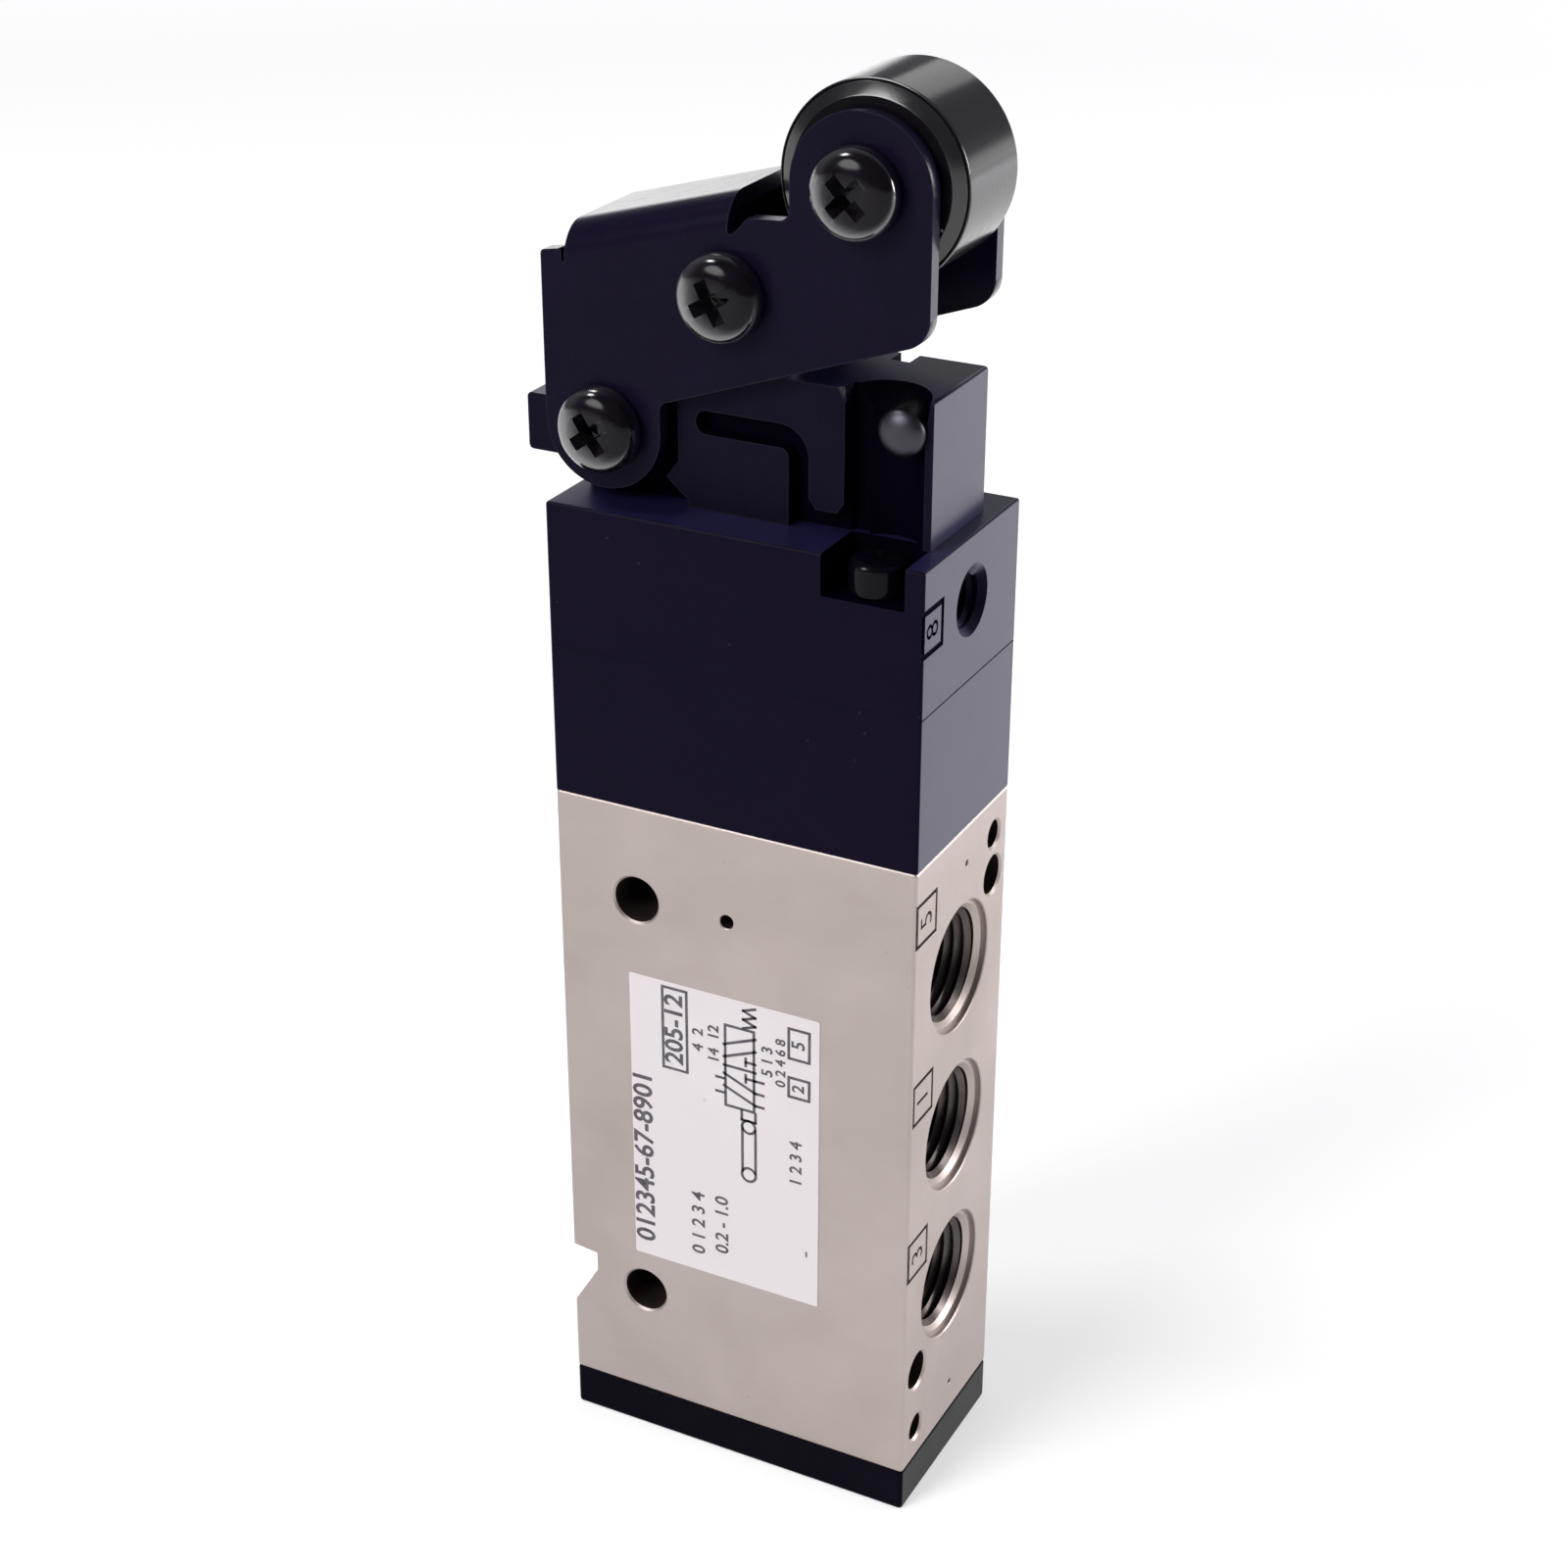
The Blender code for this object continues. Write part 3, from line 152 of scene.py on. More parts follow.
def buildPatchGroup():
    # slow, uneven patches for tone and gloss
    group, start, result = startGroup("unevenPatches", {"Scale": 120.0, "Low": 0.0, "High": 1.0}, "Value")
    noise = addNoise(group, objectPoint(group), start["Scale"], 4.0, 0.55, 0.4)
    values = {"Value": noise, "From Min": 0.3, "From Max": 0.7, "To Min": start["Low"], "To Max": start["High"]}
    group.links.new(addNode(group, "ShaderNodeMapRange", values).outputs["Result"], result)
    return group


def buildEdgeGroup():
    # where an edge is rubbed bright: the rounded normal leaves the face's own
    group, start, mask = startGroup("rubbedEdges", {"Reach": 0.0003, "Amount": 1.0}, "Mask")
    bevel = addNode(group, "ShaderNodeBevel", {"Radius": start["Reach"]}, samples=6)
    normals = {0: bevel.outputs["Normal"], 1: addNode(group, "ShaderNodeNewGeometry").outputs["Normal"]}
    meet = addNode(group, "ShaderNodeVectorMath", normals, operation="DOT_PRODUCT")
    turned = addMath(group, "SUBTRACT", 1.0, meet.outputs["Value"])
    strong = addMath(group, "MULTIPLY", turned, 6.0, clamp=True)
    broken = addMath(group, "MULTIPLY", strong, addNoise(group, objectPoint(group), 900.0, 3.0))
    group.links.new(addMath(group, "MULTIPLY", broken, start["Amount"], clamp=True), mask)
    return group


def buildTurningGroup():
    # tool rings about the Z axis of the incoming vector
    group, start, height = startGroup("turningRings", {"Vector": None, "Scale": 6000.0}, "Height")
    parts = addNode(group, "ShaderNodeSeparateXYZ", {0: start["Vector"]}).outputs
    squares = [addMath(group, "MULTIPLY", parts[way], parts[way]) for way in ("X", "Y")]
    radius = addMath(group, "SQRT", addMath(group, "ADD", *squares))
    across = addMath(group, "MULTIPLY", radius, start["Scale"])
    along = addMath(group, "MULTIPLY", parts["Z"], start["Scale"])
    joined = addNode(group, "ShaderNodeCombineXYZ", {"X": across, "Y": along})
    group.links.new(addNoise(group, joined.outputs[0], 1.0, 2.0), height)
    return group


def buildDustGroup():
    # a few pale specks that settle on the surface
    group, start, mask = startGroup("dustSpecks", {"Scale": 700.0, "Size": 0.12}, "Mask")
    point = objectPoint(group)
    cells = addNode(group, "ShaderNodeTexVoronoi", {"Vector": point, "Scale": start["Scale"], "Randomness": 1.0})
    near = addMath(group, "LESS_THAN", cells.outputs["Distance"], start["Size"])
    thinned = addMath(group, "GREATER_THAN", addNoise(group, point, 160.0, 1.0), 0.56)
    group.links.new(addMath(group, "MULTIPLY", near, thinned), mask)
    return group


fineGrain = buildGrainGroup()
unevenPatches = buildPatchGroup()
rubbedEdges = buildEdgeGroup()
turningRings = buildTurningGroup()
dustSpecks = buildDustGroup()
print("shader groups built")


# materials

def useGroup(tree, group, values):
    return addNode(tree, "ShaderNodeGroup", values, node_tree=group).outputs[0]


def mixColour(tree, share, first, second):
    node = addNode(tree, "ShaderNodeMix", data_type="RGBA")
    for slot, value in (("Factor", share), ("A", first), ("B", second)):
        socket = next(s for s in node.inputs if s.name == slot and s.enabled)
        if isinstance(value, (tuple, float, int)):
            socket.default_value = (*value, 1.0) if isinstance(value, tuple) else value
        else:
            tree.links.new(value, socket)
    return next(s for s in node.outputs if s.name == "Result" and s.enabled)


finishDefaults = {
    "metallic": 0.0,
    "ior": 1.5,
    "patchScale": 300.0,
    "grainScale": 3000.0,
    "swell": 0.3,
    "bump": 0.12,
    "bumpDepth": 0.02,
}
glossPatches = 2.3  # how much finer the patches of gloss are than those of tone


def makeFinish(name, look):
    # look: colour, shade, roughness (low, high), what differs from finishDefaults, and rub, dust, a coat with its
    # painted sheen, or rings
    look = {**finishDefaults, **look}
    material = bpy.data.materials.new(name)
    material.use_nodes = True
    tree = material.node_tree
    shader = tree.nodes["Principled BSDF"]
    patches = useGroup(tree, unevenPatches, {"Scale": look["patchScale"]})
    colour = mixColour(tree, patches, look["colour"], look["shade"])
    if "rub" in look:
        rub = look["rub"]
        edges = useGroup(tree, rubbedEdges, {"Reach": rub["reach"] * mm, "Amount": rub["amount"]})
        colour = mixColour(tree, edges, colour, rub["colour"])
    if "dust" in look:
        dust = look["dust"]
        specks = useGroup(tree, dustSpecks, {"Scale": dust["scale"], "Size": dust["size"]})
        colour = mixColour(tree, addMath(tree, "MULTIPLY", specks, dust["amount"]), colour, dust["colour"])
    if "coatAndPaintedSheen" in look:
        # satin blacks shine where they are seen at a shallow angle: there the coat gives real gloss, and the base
        # colour is mixed towards the sheen colour, which is a painted sheen
        coatAndPaintedSheen = look["coatAndPaintedSheen"]
        low, high = coatAndPaintedSheen["facing"]
        facing = addNode(tree, "ShaderNodeLayerWeight", {"Blend": 0.5}).outputs["Facing"]
        values = {"Value": facing, "From Min": low, "From Max": high}
        share = addNode(tree, "ShaderNodeMapRange", values, interpolation_type="SMOOTHSTEP").outputs["Result"]
        colour = mixColour(tree, share, colour, coatAndPaintedSheen["colour"])
        coat = addMath(tree, "MULTIPLY", share, coatAndPaintedSheen["weight"])
        fill(tree, shader, {"Coat Weight": coat, "Coat Roughness": coatAndPaintedSheen["roughness"], "Coat IOR": coatAndPaintedSheen["ior"]})
    low, high = look["roughness"]
    gloss = useGroup(tree, unevenPatches, {"Scale": look["patchScale"] * glossPatches, "Low": low, "High": high})
    height = useGroup(tree, fineGrain, {"Scale": look["grainScale"], "Swell": look["swell"]})
    if "rings" in look:
        rings = look["rings"]
        values = {"Vector": objectPoint(tree), "Location": Vector(rings["centre"]) * mm, "Rotation": rings["turn"]}
        centred = addNode(tree, "ShaderNodeMapping", values, vector_type="TEXTURE").outputs["Vector"]
        marks = useGroup(tree, turningRings, {"Vector": centred, "Scale": rings["scale"]})
        marks = addMath(tree, "MULTIPLY", marks, rings["share"])
        height = addMath(tree, "ADD", addMath(tree, "MULTIPLY", height, 1.0 - rings["share"]), marks)
    values = {"Height": height, "Strength": look["bump"], "Distance": look["bumpDepth"] * mm}
    normal = addNode(tree, "ShaderNodeBump", values).outputs["Normal"]
    fill(tree, shader, {"Metallic": look["metallic"], "IOR": look["ior"], "Base Color": colour})
    fill(tree, shader, {"Roughness": gloss, "Normal": normal})
    return material


alongY = (math.pi / 2, 0.0, 0.0)

bodyLook = {
    "colour": (0.480, 0.418, 0.400),
    "shade": (0.415, 0.360, 0.332),
    "metallic": 1.0,
    "roughness": (0.46, 0.54),
    "patchScale": 60.0,
    "grainScale": 5200.0,
    "swell": 0.5,
    "bump": 0.35,
    "bumpDepth": 0.03,
    "rub": {"reach": 0.2, "amount": 0.2, "colour": (0.66, 0.62, 0.60)},
    "dust": {"scale": 420.0, "size": 0.07, "amount": 0.25, "colour": (0.30, 0.27, 0.25)},
}
machinedLook = {
    "colour": (0.62, 0.58, 0.56),
    "shade": (0.52, 0.48, 0.46),
    "metallic": 1.0,
    "roughness": (0.24, 0.34),
    "grainScale": 4000.0,
    "bump": 0.25,
}
# the sheen colour in this look and in the black looks below is a painted sheen: it is mixed into the base colour
# where a face is seen at a shallow angle
resinLook = {
    "colour": (0.0052, 0.0034, 0.0140),
    "shade": (0.0062, 0.0042, 0.0160),
    "roughness": (0.34, 0.42),
    "ior": 1.11,
    "coatAndPaintedSheen": {"facing": (0.34, 0.60), "weight": 1.0, "roughness": 0.32, "ior": 1.5, "colour": (0.012, 0.010, 0.048)},
    "patchScale": 110.0,
    "grainScale": 3800.0,
    "bump": 0.22,
    "bumpDepth": 0.03,
    "rub": {"reach": 0.22, "amount": 0.08, "colour": (0.05, 0.048, 0.06)},
    "dust": {"scale": 520.0, "size": 0.06, "amount": 0.30, "colour": (0.05, 0.05, 0.06)},
}
coverLook = {
    "colour": (0.0030, 0.0022, 0.0060),
    "shade": (0.0040, 0.0032, 0.0075),
    "roughness": (0.40, 0.50),
    "ior": 1.08,
    "coatAndPaintedSheen": {"facing": (0.36, 0.66), "weight": 0.45, "roughness": 0.38, "ior": 1.5, "colour": (0.010, 0.010, 0.009)},
    "patchScale": 110.0,
    "grainScale": 3800.0,
    "bump": 0.22,
    "bumpDepth": 0.03,
    "dust": {"scale": 520.0, "size": 0.06, "amount": 0.25, "colour": (0.05, 0.05, 0.05)},
}
# painted shade: a darker black for the faces in the casting's pockets, slots and grooves and in the pilot's corner
# notches
pocketShadeLook = {
    "colour": (0.0013, 0.0008, 0.0042),
    "shade": (0.0019, 0.0012, 0.0055),
    "roughness": (0.45, 0.55),
    "ior": 1.06,
    "patchScale": 170.0,
    "grainScale": 2400.0,
    "swell": 0.6,
    "bump": 0.30,
    "bumpDepth": 0.045,
}
# painted shade: a dark brown-black in place of the metal inside the ports, holes and engraved marks
boreShadeLook = {
    "colour": (0.020, 0.014, 0.013),
    "shade": (0.034, 0.026, 0.024),
    "roughness": (0.40, 0.52),
    "ior": 1.15,
    "bump": 0.25,
}
# painted shade: the thread ridges are a dark metal, far darker than the body, standing in for the shade inside the
# ports
threadShadeLook = {
    "colour": (0.110, 0.095, 0.092),
    "shade": (0.060, 0.050, 0.048),
    "metallic": 1.0,
    "roughness": (0.30, 0.42),
    "grainScale": 4000.0,
    "bump": 0.25,
}
castingLook = {
    "colour": (0.0050, 0.0034, 0.0135),
    "shade": (0.0062, 0.0044, 0.0160),
    "roughness": (0.30, 0.40),
    "ior": 1.12,
    "coatAndPaintedSheen": {"facing": (0.34, 0.60), "weight": 1.0, "roughness": 0.30, "ior": 1.5, "colour": (0.012, 0.010, 0.045)},
    "patchScale": 170.0,
    "grainScale": 2400.0,
    "swell": 0.6,
    "bump": 0.30,
    "bumpDepth": 0.045,
    "rub": {"reach": 0.25, "amount": 0.4, "colour": (0.06, 0.058, 0.07)},
}
sheetLook = {
    "colour": (0.0062, 0.0042, 0.0155),
    "shade": (0.0074, 0.0052, 0.0180),
    "roughness": (0.22, 0.30),
    "ior": 1.12,
    "coatAndPaintedSheen": {"facing": (0.34, 0.62), "weight": 1.0, "roughness": 0.20, "ior": 1.5, "colour": (0.008, 0.006, 0.022)},
    "patchScale": 140.0,
    "grainScale": 1500.0,
    "swell": 0.8,
    "bump": 0.14,
    "bumpDepth": 0.03,
    "rub": {"reach": 0.2, "amount": 0.5, "colour": (0.08, 0.08, 0.09)},
}
screwLook = {
    "colour": (0.0035, 0.0024, 0.0055),
    "shade": (0.0060, 0.0044, 0.0080),
    "roughness": (0.12, 0.18),
    "ior": 1.26,
    "coatAndPaintedSheen": {"facing": (0.16, 0.42), "weight": 1.0, "roughness": 0.14, "ior": 2.4, "colour": (0.010, 0.008, 0.012)},
    "patchScale": 500.0,
}
rollerLook = {
    "colour": (0.0045, 0.0036, 0.0055),
    "shade": (0.0070, 0.0060, 0.0085),
    "roughness": (0.22, 0.30),
    "ior": 1.10,
    "coatAndPaintedSheen": {"facing": (0.28, 0.54), "weight": 1.0, "roughness": 0.15, "ior": 1.72, "colour": (0.012, 0.011, 0.013)},
    "patchScale": 260.0,
    "grainScale": 2600.0,
    "bump": 0.10,
    "dust": {"scale": 600.0, "size": 0.09, "amount": 0.6, "colour": (0.5, 0.5, 0.52)},
}
steelLook = {
    "colour": (0.50, 0.49, 0.50),
    "shade": (0.40, 0.39, 0.40),
    "metallic": 1.0,
    "roughness": (0.26, 0.36),
    "grainScale": 3500.0,
    "bump": 0.15,
}
# painted shade: a darker copy of the screw finish, for the screws down in the corner notches
shadedScrewLook = {
    "colour": (0.0020, 0.0014, 0.0040),
    "shade": (0.0032, 0.0024, 0.0055),
    "roughness": (0.14, 0.20),
    "ior": 1.20,
    "patchScale": 500.0,
}
rimLook = {
    "colour": (0.0060, 0.0052, 0.0070),
    "shade": (0.0100, 0.0090, 0.0115),
    "roughness": (0.16, 0.24),
    "ior": 1.65,
    "patchScale": 260.0,
    "grainScale": 2600.0,
}
pinLook = {**steelLook, "colour": (0.066, 0.064, 0.077), "shade": (0.048, 0.046, 0.057), "roughness": (0.34, 0.44)}
rubberLook = {
    "colour": (0.006, 0.0055, 0.0065),
    "shade": (0.010, 0.009, 0.010),
    "roughness": (0.62, 0.74),
    "ior": 1.25,
    "patchScale": 200.0,
    "grainScale": 2500.0,
    "bump": 0.3,
    "bumpDepth": 0.03,
}
brassLook = {
    "colour": (0.60, 0.42, 0.18),
    "shade": (0.50, 0.34, 0.14),
    "metallic": 1.0,
    "roughness": (0.25, 0.35),
    "patchScale": 250.0,
    "grainScale": 3500.0,
}
labelLook = {
    "colour": (0.850, 0.795, 0.810),
    "shade": (0.815, 0.755, 0.772),
    "roughness": (0.36, 0.44),
    "ior": 1.35,
    "patchScale": 70.0,
    "grainScale": 1800.0,
    "bump": 0.08,
    "dust": {"scale": 260.0, "size": 0.05, "amount": 0.35, "colour": (0.42, 0.38, 0.40)},
}
inkLook = {
    "colour": (0.075, 0.065, 0.080),
    "shade": (0.150, 0.135, 0.155),
    "roughness": (0.42, 0.55),
    "ior": 1.35,
    "patchScale": 900.0,
    "grainScale": 4000.0,
    "bump": 0.1,
    "bumpDepth": 0.01,
}


def ringed(look, centre, turn, scale, share=0.7, bump=0.35):
    return {**look, "bump": bump, "rings": {"centre": centre, "turn": turn, "scale": scale, "share": share}}


satinAluminium, machinedAluminium, blackResin, coverResin, paintedPocketShade, paintedBoreShade, shadedThreadMetal, blackCasting = (
    makeFinish(name, look)
    for name, look in (
        ("satin_aluminium", bodyLook), ("machined_aluminium", machinedLook), ("black_resin", resinLook),
        ("cover_resin", coverLook), ("painted_pocket_shade", pocketShadeLook), ("painted_bore_shade", boreShadeLook),
        ("shaded_thread_metal", threadShadeLook), ("black_casting", castingLook),
    )
)
blackSheet, blackScrew, paintedShadeScrew, polishedRim, darkSteel, brightSteel, blackRubber, turnedBrass = (
    makeFinish(name, look)
    for name, look in (
        ("black_sheet", sheetLook), ("black_screw", screwLook), ("corner_screw", shadedScrewLook),
        ("polished_rim", rimLook), ("dark_steel", pinLook), ("bright_steel", steelLook),
        ("black_rubber", rubberLook), ("turned_brass", brassLook),
    )
)
labelFilm = makeFinish("label_film", labelLook)
labelInk = makeFinish("label_ink", inkLook)
print("materials built")


# mesh helpers

axisTurns = {
    "z": Matrix.Identity(4),
    "y": Matrix.Rotation(-math.pi / 2, 4, "X"),
    "-y": Matrix.Rotation(math.pi / 2, 4, "X"),
    "x": Matrix.Rotation(math.pi / 2, 4, "Y"),
    "-x": Matrix.Rotation(-math.pi / 2, 4, "Y"),
    "-z": Matrix.Rotation(math.pi, 4, "X"),
}


def addObject(name, mesh):
    made = bpy.data.objects.new(name, mesh)
    bpy.context.scene.collection.objects.link(made)
    return made


def reshape(mesh, change):
    shape = bmesh.new()
    shape.from_mesh(mesh)
    change(shape)
    shape.to_mesh(mesh)
    shape.free()
    return mesh


def meshFrom(name, points, faces):
    mesh = bpy.data.meshes.new(name)
    mesh.from_pydata([Vector(point) * mm for point in points], [], faces)
    return reshape(mesh, lambda shape: bmesh.ops.recalc_face_normals(shape, faces=shape.faces))


def latheMesh(name, profile, sides, axis="z", centre=(0, 0, 0), ring=False):
    # profile of (radius, height) pairs turned about the axis; a ring's profile closes on itself
    turn = Matrix.Translation(centre) @ axisTurns[axis]
    points = []
    rows = []
    for radius, height in profile:
        if radius == 0:
            rows.append([len(points)] * sides)
            points.append(turn @ Vector((0.0, 0.0, height)))
            continue
        rows.append(list(range(len(points), len(points) + sides)))
        for side in range(sides):
            angle = 2 * math.pi * side / sides
            points.append(turn @ Vector((radius * math.cos(angle), radius * math.sin(angle), height)))
    faces = []
    for upper, lower in zip(rows, rows[1:] + rows[:1] if ring else rows[1:]):
        for side in range(sides):
            after = (side + 1) % sides
            corners = (upper[side], upper[after], lower[after], lower[side])
            face = tuple(dict.fromkeys(corners))
            if len(face) > 2:
                faces.append(face)
    return meshFrom(name, points, faces)


def lathe(name, profile, sides, axis="z", centre=(0, 0, 0), ring=False):
    return addObject(name, latheMesh(name, profile, sides, axis, centre, ring))


def rod(name, radius, top, foot, sides, axis="z", centre=(0, 0, 0)):
    return lathe(name, [(0, top), (radius, top), (radius, foot), (0, foot)], sides, axis, centre)


def arcOutline(corners, step=6.0):
    # corner points (x, z, radius) joined by straight runs, each corner rounded by an arc
    outline = []
    for index, (x, z, radius) in enumerate(corners):
        corner = Vector((x, z))
        if radius == 0:
            outline.append(corner)
            continue
        before = (Vector(corners[index - 1][:2]) - corner).normalized()
        after = (Vector(corners[(index + 1) % len(corners)][:2]) - corner).normalized()
        half = before.angle(after) / 2
        centre = corner + (before + after).normalized() * radius / math.sin(half)
        start = corner + before * radius / math.tan(half) - centre
        end = corner + after * radius / math.tan(half) - centre
        sweep = math.atan2(start.x * end.y - start.y * end.x, start.dot(end))
        count = max(2, round(abs(math.degrees(sweep)) / step))
        for part in range(count + 1):
            turn = Matrix.Rotation(sweep * part / count, 2)
            outline.append(centre + turn @ start)
    return outline


def prism(name, outline, low, high):
    # an outline in the XZ plane between two depths along Y
    count = len(outline)
    points = [(p[0], low, p[1]) for p in outline] + [(p[0], high, p[1]) for p in outline]
    faces = [tuple(range(count)), tuple(range(2 * count - 1, count - 1, -1))]
    faces += [(i, (i + 1) % count, count + (i + 1) % count, count + i) for i in range(count)]
    return addObject(name, meshFrom(name, points, faces))


def block(name, low, high, edge=0.0, steps=3):
    low, high = Vector(low), Vector(high)
    shape = bmesh.new()
    bmesh.ops.create_cube(shape, size=1.0)
    size = Matrix.Diagonal((*((high - low) * mm), 1.0))
    bmesh.ops.transform(shape, matrix=Matrix.Translation((low + high) / 2 * mm) @ size, verts=shape.verts)
    if edge:
        bmesh.ops.bevel(shape, geom=shape.edges, offset=edge * mm, segments=steps, profile=0.5, affect="EDGES")
    mesh = bpy.data.meshes.new(name)
    shape.to_mesh(mesh)
    shape.free()
    return addObject(name, mesh)


def plainCopy(piece):
    # the evaluated piece as a plain mesh, with its modifiers removed
    graph = bpy.context.evaluated_depsgraph_get()
    mesh = bpy.data.meshes.new_from_object(piece.evaluated_get(graph))
    piece.modifiers.clear()
    piece.data = mesh
    return piece


def carve(piece, cutters, operation="DIFFERENCE"):
    for cutter in cutters:
        modifier = piece.modifiers.new(cutter.name, "BOOLEAN")
        modifier.operation = operation
        modifier.solver = "EXACT"
        modifier.object = cutter
    plainCopy(piece)
    for cutter in cutters:
        bpy.data.objects.remove(cutter)
    return piece


def soften(piece, width, segments=3, angle=32.0):
    modifier = piece.modifiers.new("edges", "BEVEL")
    modifier.width = width * mm
    modifier.segments = segments
    modifier.limit_method = "ANGLE"
    modifier.angle_limit = math.radians(angle)
    modifier.miter_outer = "MITER_ARC"
    modifier.use_clamp_overlap = True
    return plainCopy(piece)


def dress(piece, material, body, nodes=(), smooth=32.0, weigh=True):
    mesh = piece.data
    mesh.materials.clear()
    mesh.materials.append(material)
    mesh.shade_smooth()
    mesh.set_sharp_from_angle(angle=math.radians(smooth))
    if weigh:
        modifier = piece.modifiers.new("faceNormals", "WEIGHTED_NORMAL")
        modifier.keep_sharp = True
    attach(piece, body)
    if nodes:
        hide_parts(*nodes)
    return piece


def coatInside(piece, material, isInside):
    # the faces whose middle (mm) and normal pass the test take a second material
    mesh = piece.data
    mesh.materials.append(material)
    last = len(mesh.materials) - 1
    for face in mesh.polygons:
        if isInside(face.center / mm, face.normal):
            face.material_index = last
    return piece


def joinPieces(name, pieces):
    shape = bmesh.new()
    for piece in pieces:
        shape.from_mesh(piece.data)
        bpy.data.objects.remove(piece)
    mesh = bpy.data.meshes.new(name)
    shape.to_mesh(mesh)
    shape.free()
    return addObject(name, mesh)


# what reads up the column: text runs along +Z, on the front (label) face or the right (port) face
faceTurns = {
    "front": Matrix(((0, -1, 0), (0, 0, -1), (1, 0, 0))).to_4x4(),
    "right": Matrix(((0, 0, 1), (0, -1, 0), (1, 0, 0))).to_4x4(),
}


def digits(name, text, height, depth, face, place, bold=0.0):
    # plain numbers as a solid, centred on the place and standing out of the face
    curve = bpy.data.curves.new(name, "FONT")
    curve.body = text
    curve.size = height / 0.7 * mm
    curve.extrude = depth / 2 * mm
    curve.offset = bold * mm
    curve.resolution_u = 3
    curve.align_x = "CENTER"
    curve.align_y = "CENTER"
    guide = addObject(name, curve)
    graph = bpy.context.evaluated_depsgraph_get()
    mesh = bpy.data.meshes.new_from_object(guide.evaluated_get(graph))
    bpy.data.objects.remove(guide)

    def stand(shape):
        bmesh.ops.remove_doubles(shape, verts=shape.verts, dist=0.000001)
        bmesh.ops.transform(shape, matrix=Matrix.Translation(Vector(place) * mm) @ faceTurns[face], verts=shape.verts)
        bmesh.ops.recalc_face_normals(shape, faces=shape.faces)

    return addObject(name, reshape(mesh, stand))


def frameSolid(name, low, high, line):
    # a rectangular rim round the box between two corners, flat across its thinnest direction
    low, high = Vector(low), Vector(high)
    thin = min(range(3), key=lambda k: high[k] - low[k])
    first, second = [k for k in range(3) if k != thin]
    inset = Vector((0.0, 0.0, 0.0))
    inset[first] = line
    inset[second] = line
    points = []
    for depth in (low[thin], high[thin]):
        for start, end in ((low, high), (low + inset, high - inset)):
            for a, b in ((start, start), (end, start), (end, end), (start, end)):
                point = Vector((0.0, 0.0, 0.0))
                point[thin] = depth
                point[first] = a[first]
                point[second] = b[second]
                points.append(point)
    faces = []
    for k in range(4):
        after = (k + 1) % 4
        faces.append((k, after, 4 + after, 4 + k))
        faces.append((8 + k, 8 + after, 12 + after, 12 + k))
        faces.append((k, after, 8 + after, 8 + k))
        faces.append((4 + k, 4 + after, 12 + after, 12 + k))
    return addObject(name, meshFrom(name, points, faces))


# geometry node tree

def buildThreadTree():
    # the ridge of an internal thread: a diamond section swept along a helix, half of it sunk in the wall
    tree = bpy.data.node_groups.new("threadRidge", "GeometryNodeTree")
    tree.interface.new_socket("Geometry", in_out="OUTPUT", socket_type="NodeSocketGeometry")
    sockets = {}
    for label in ("Mouth Radius", "End Radius", "Length", "Turns", "Ridge", "Material"):
        kind = "NodeSocketMaterial" if label == "Material" else "NodeSocketFloat"
        sockets[label] = tree.interface.new_socket(label, in_out="INPUT", socket_type=kind).identifier
    start = tree.nodes.new("NodeGroupInput").outputs
    values = {"Resolution": 48, "Rotations": start["Turns"], "Height": start["Length"]}
    values.update({"Start Radius": start["End Radius"], "End Radius": start["Mouth Radius"]})
    helix = addNode(tree, "GeometryNodeCurveSpiral", values)
    upright = addNode(tree, "GeometryNodeSetCurveNormal", {"Curve": helix.outputs[0]}, mode="Z_UP")
    section = addNode(tree, "GeometryNodeCurvePrimitiveCircle", {"Resolution": 4, "Radius": start["Ridge"]})
    values = {"Curve": upright.outputs[0], "Profile Curve": section.outputs["Curve"], "Fill Caps": True}
    sweep = addNode(tree, "GeometryNodeCurveToMesh", values)
    realize = addNode(tree, "GeometryNodeRealizeInstances", {0: sweep.outputs[0]})
    values = {"Geometry": realize.outputs[0], "Material": start["Material"]}
    paint = addNode(tree, "GeometryNodeSetMaterial", values)
    tree.links.new(paint.outputs[0], tree.nodes.new("NodeGroupOutput").inputs[0])
    return tree, sockets


def growTree(name, recipe, values, place):
    tree, sockets = recipe
    guide = addObject(name, bpy.data.meshes.new(name))
    modifier = guide.modifiers.new("tree", "NODES")
    modifier.node_group = tree
    for label, value in values.items():
        modifier[sockets[label]] = value
    plainCopy(guide)
    guide.data.transform(place)

    def close(shape):
        bmesh.ops.remove_doubles(shape, verts=shape.verts, dist=0.0000005)
        bmesh.ops.recalc_face_normals(shape, faces=shape.faces)

    reshape(guide.data, close)
    return guide


threadRidge = buildThreadTree()
print("geometry tree built")


# main body

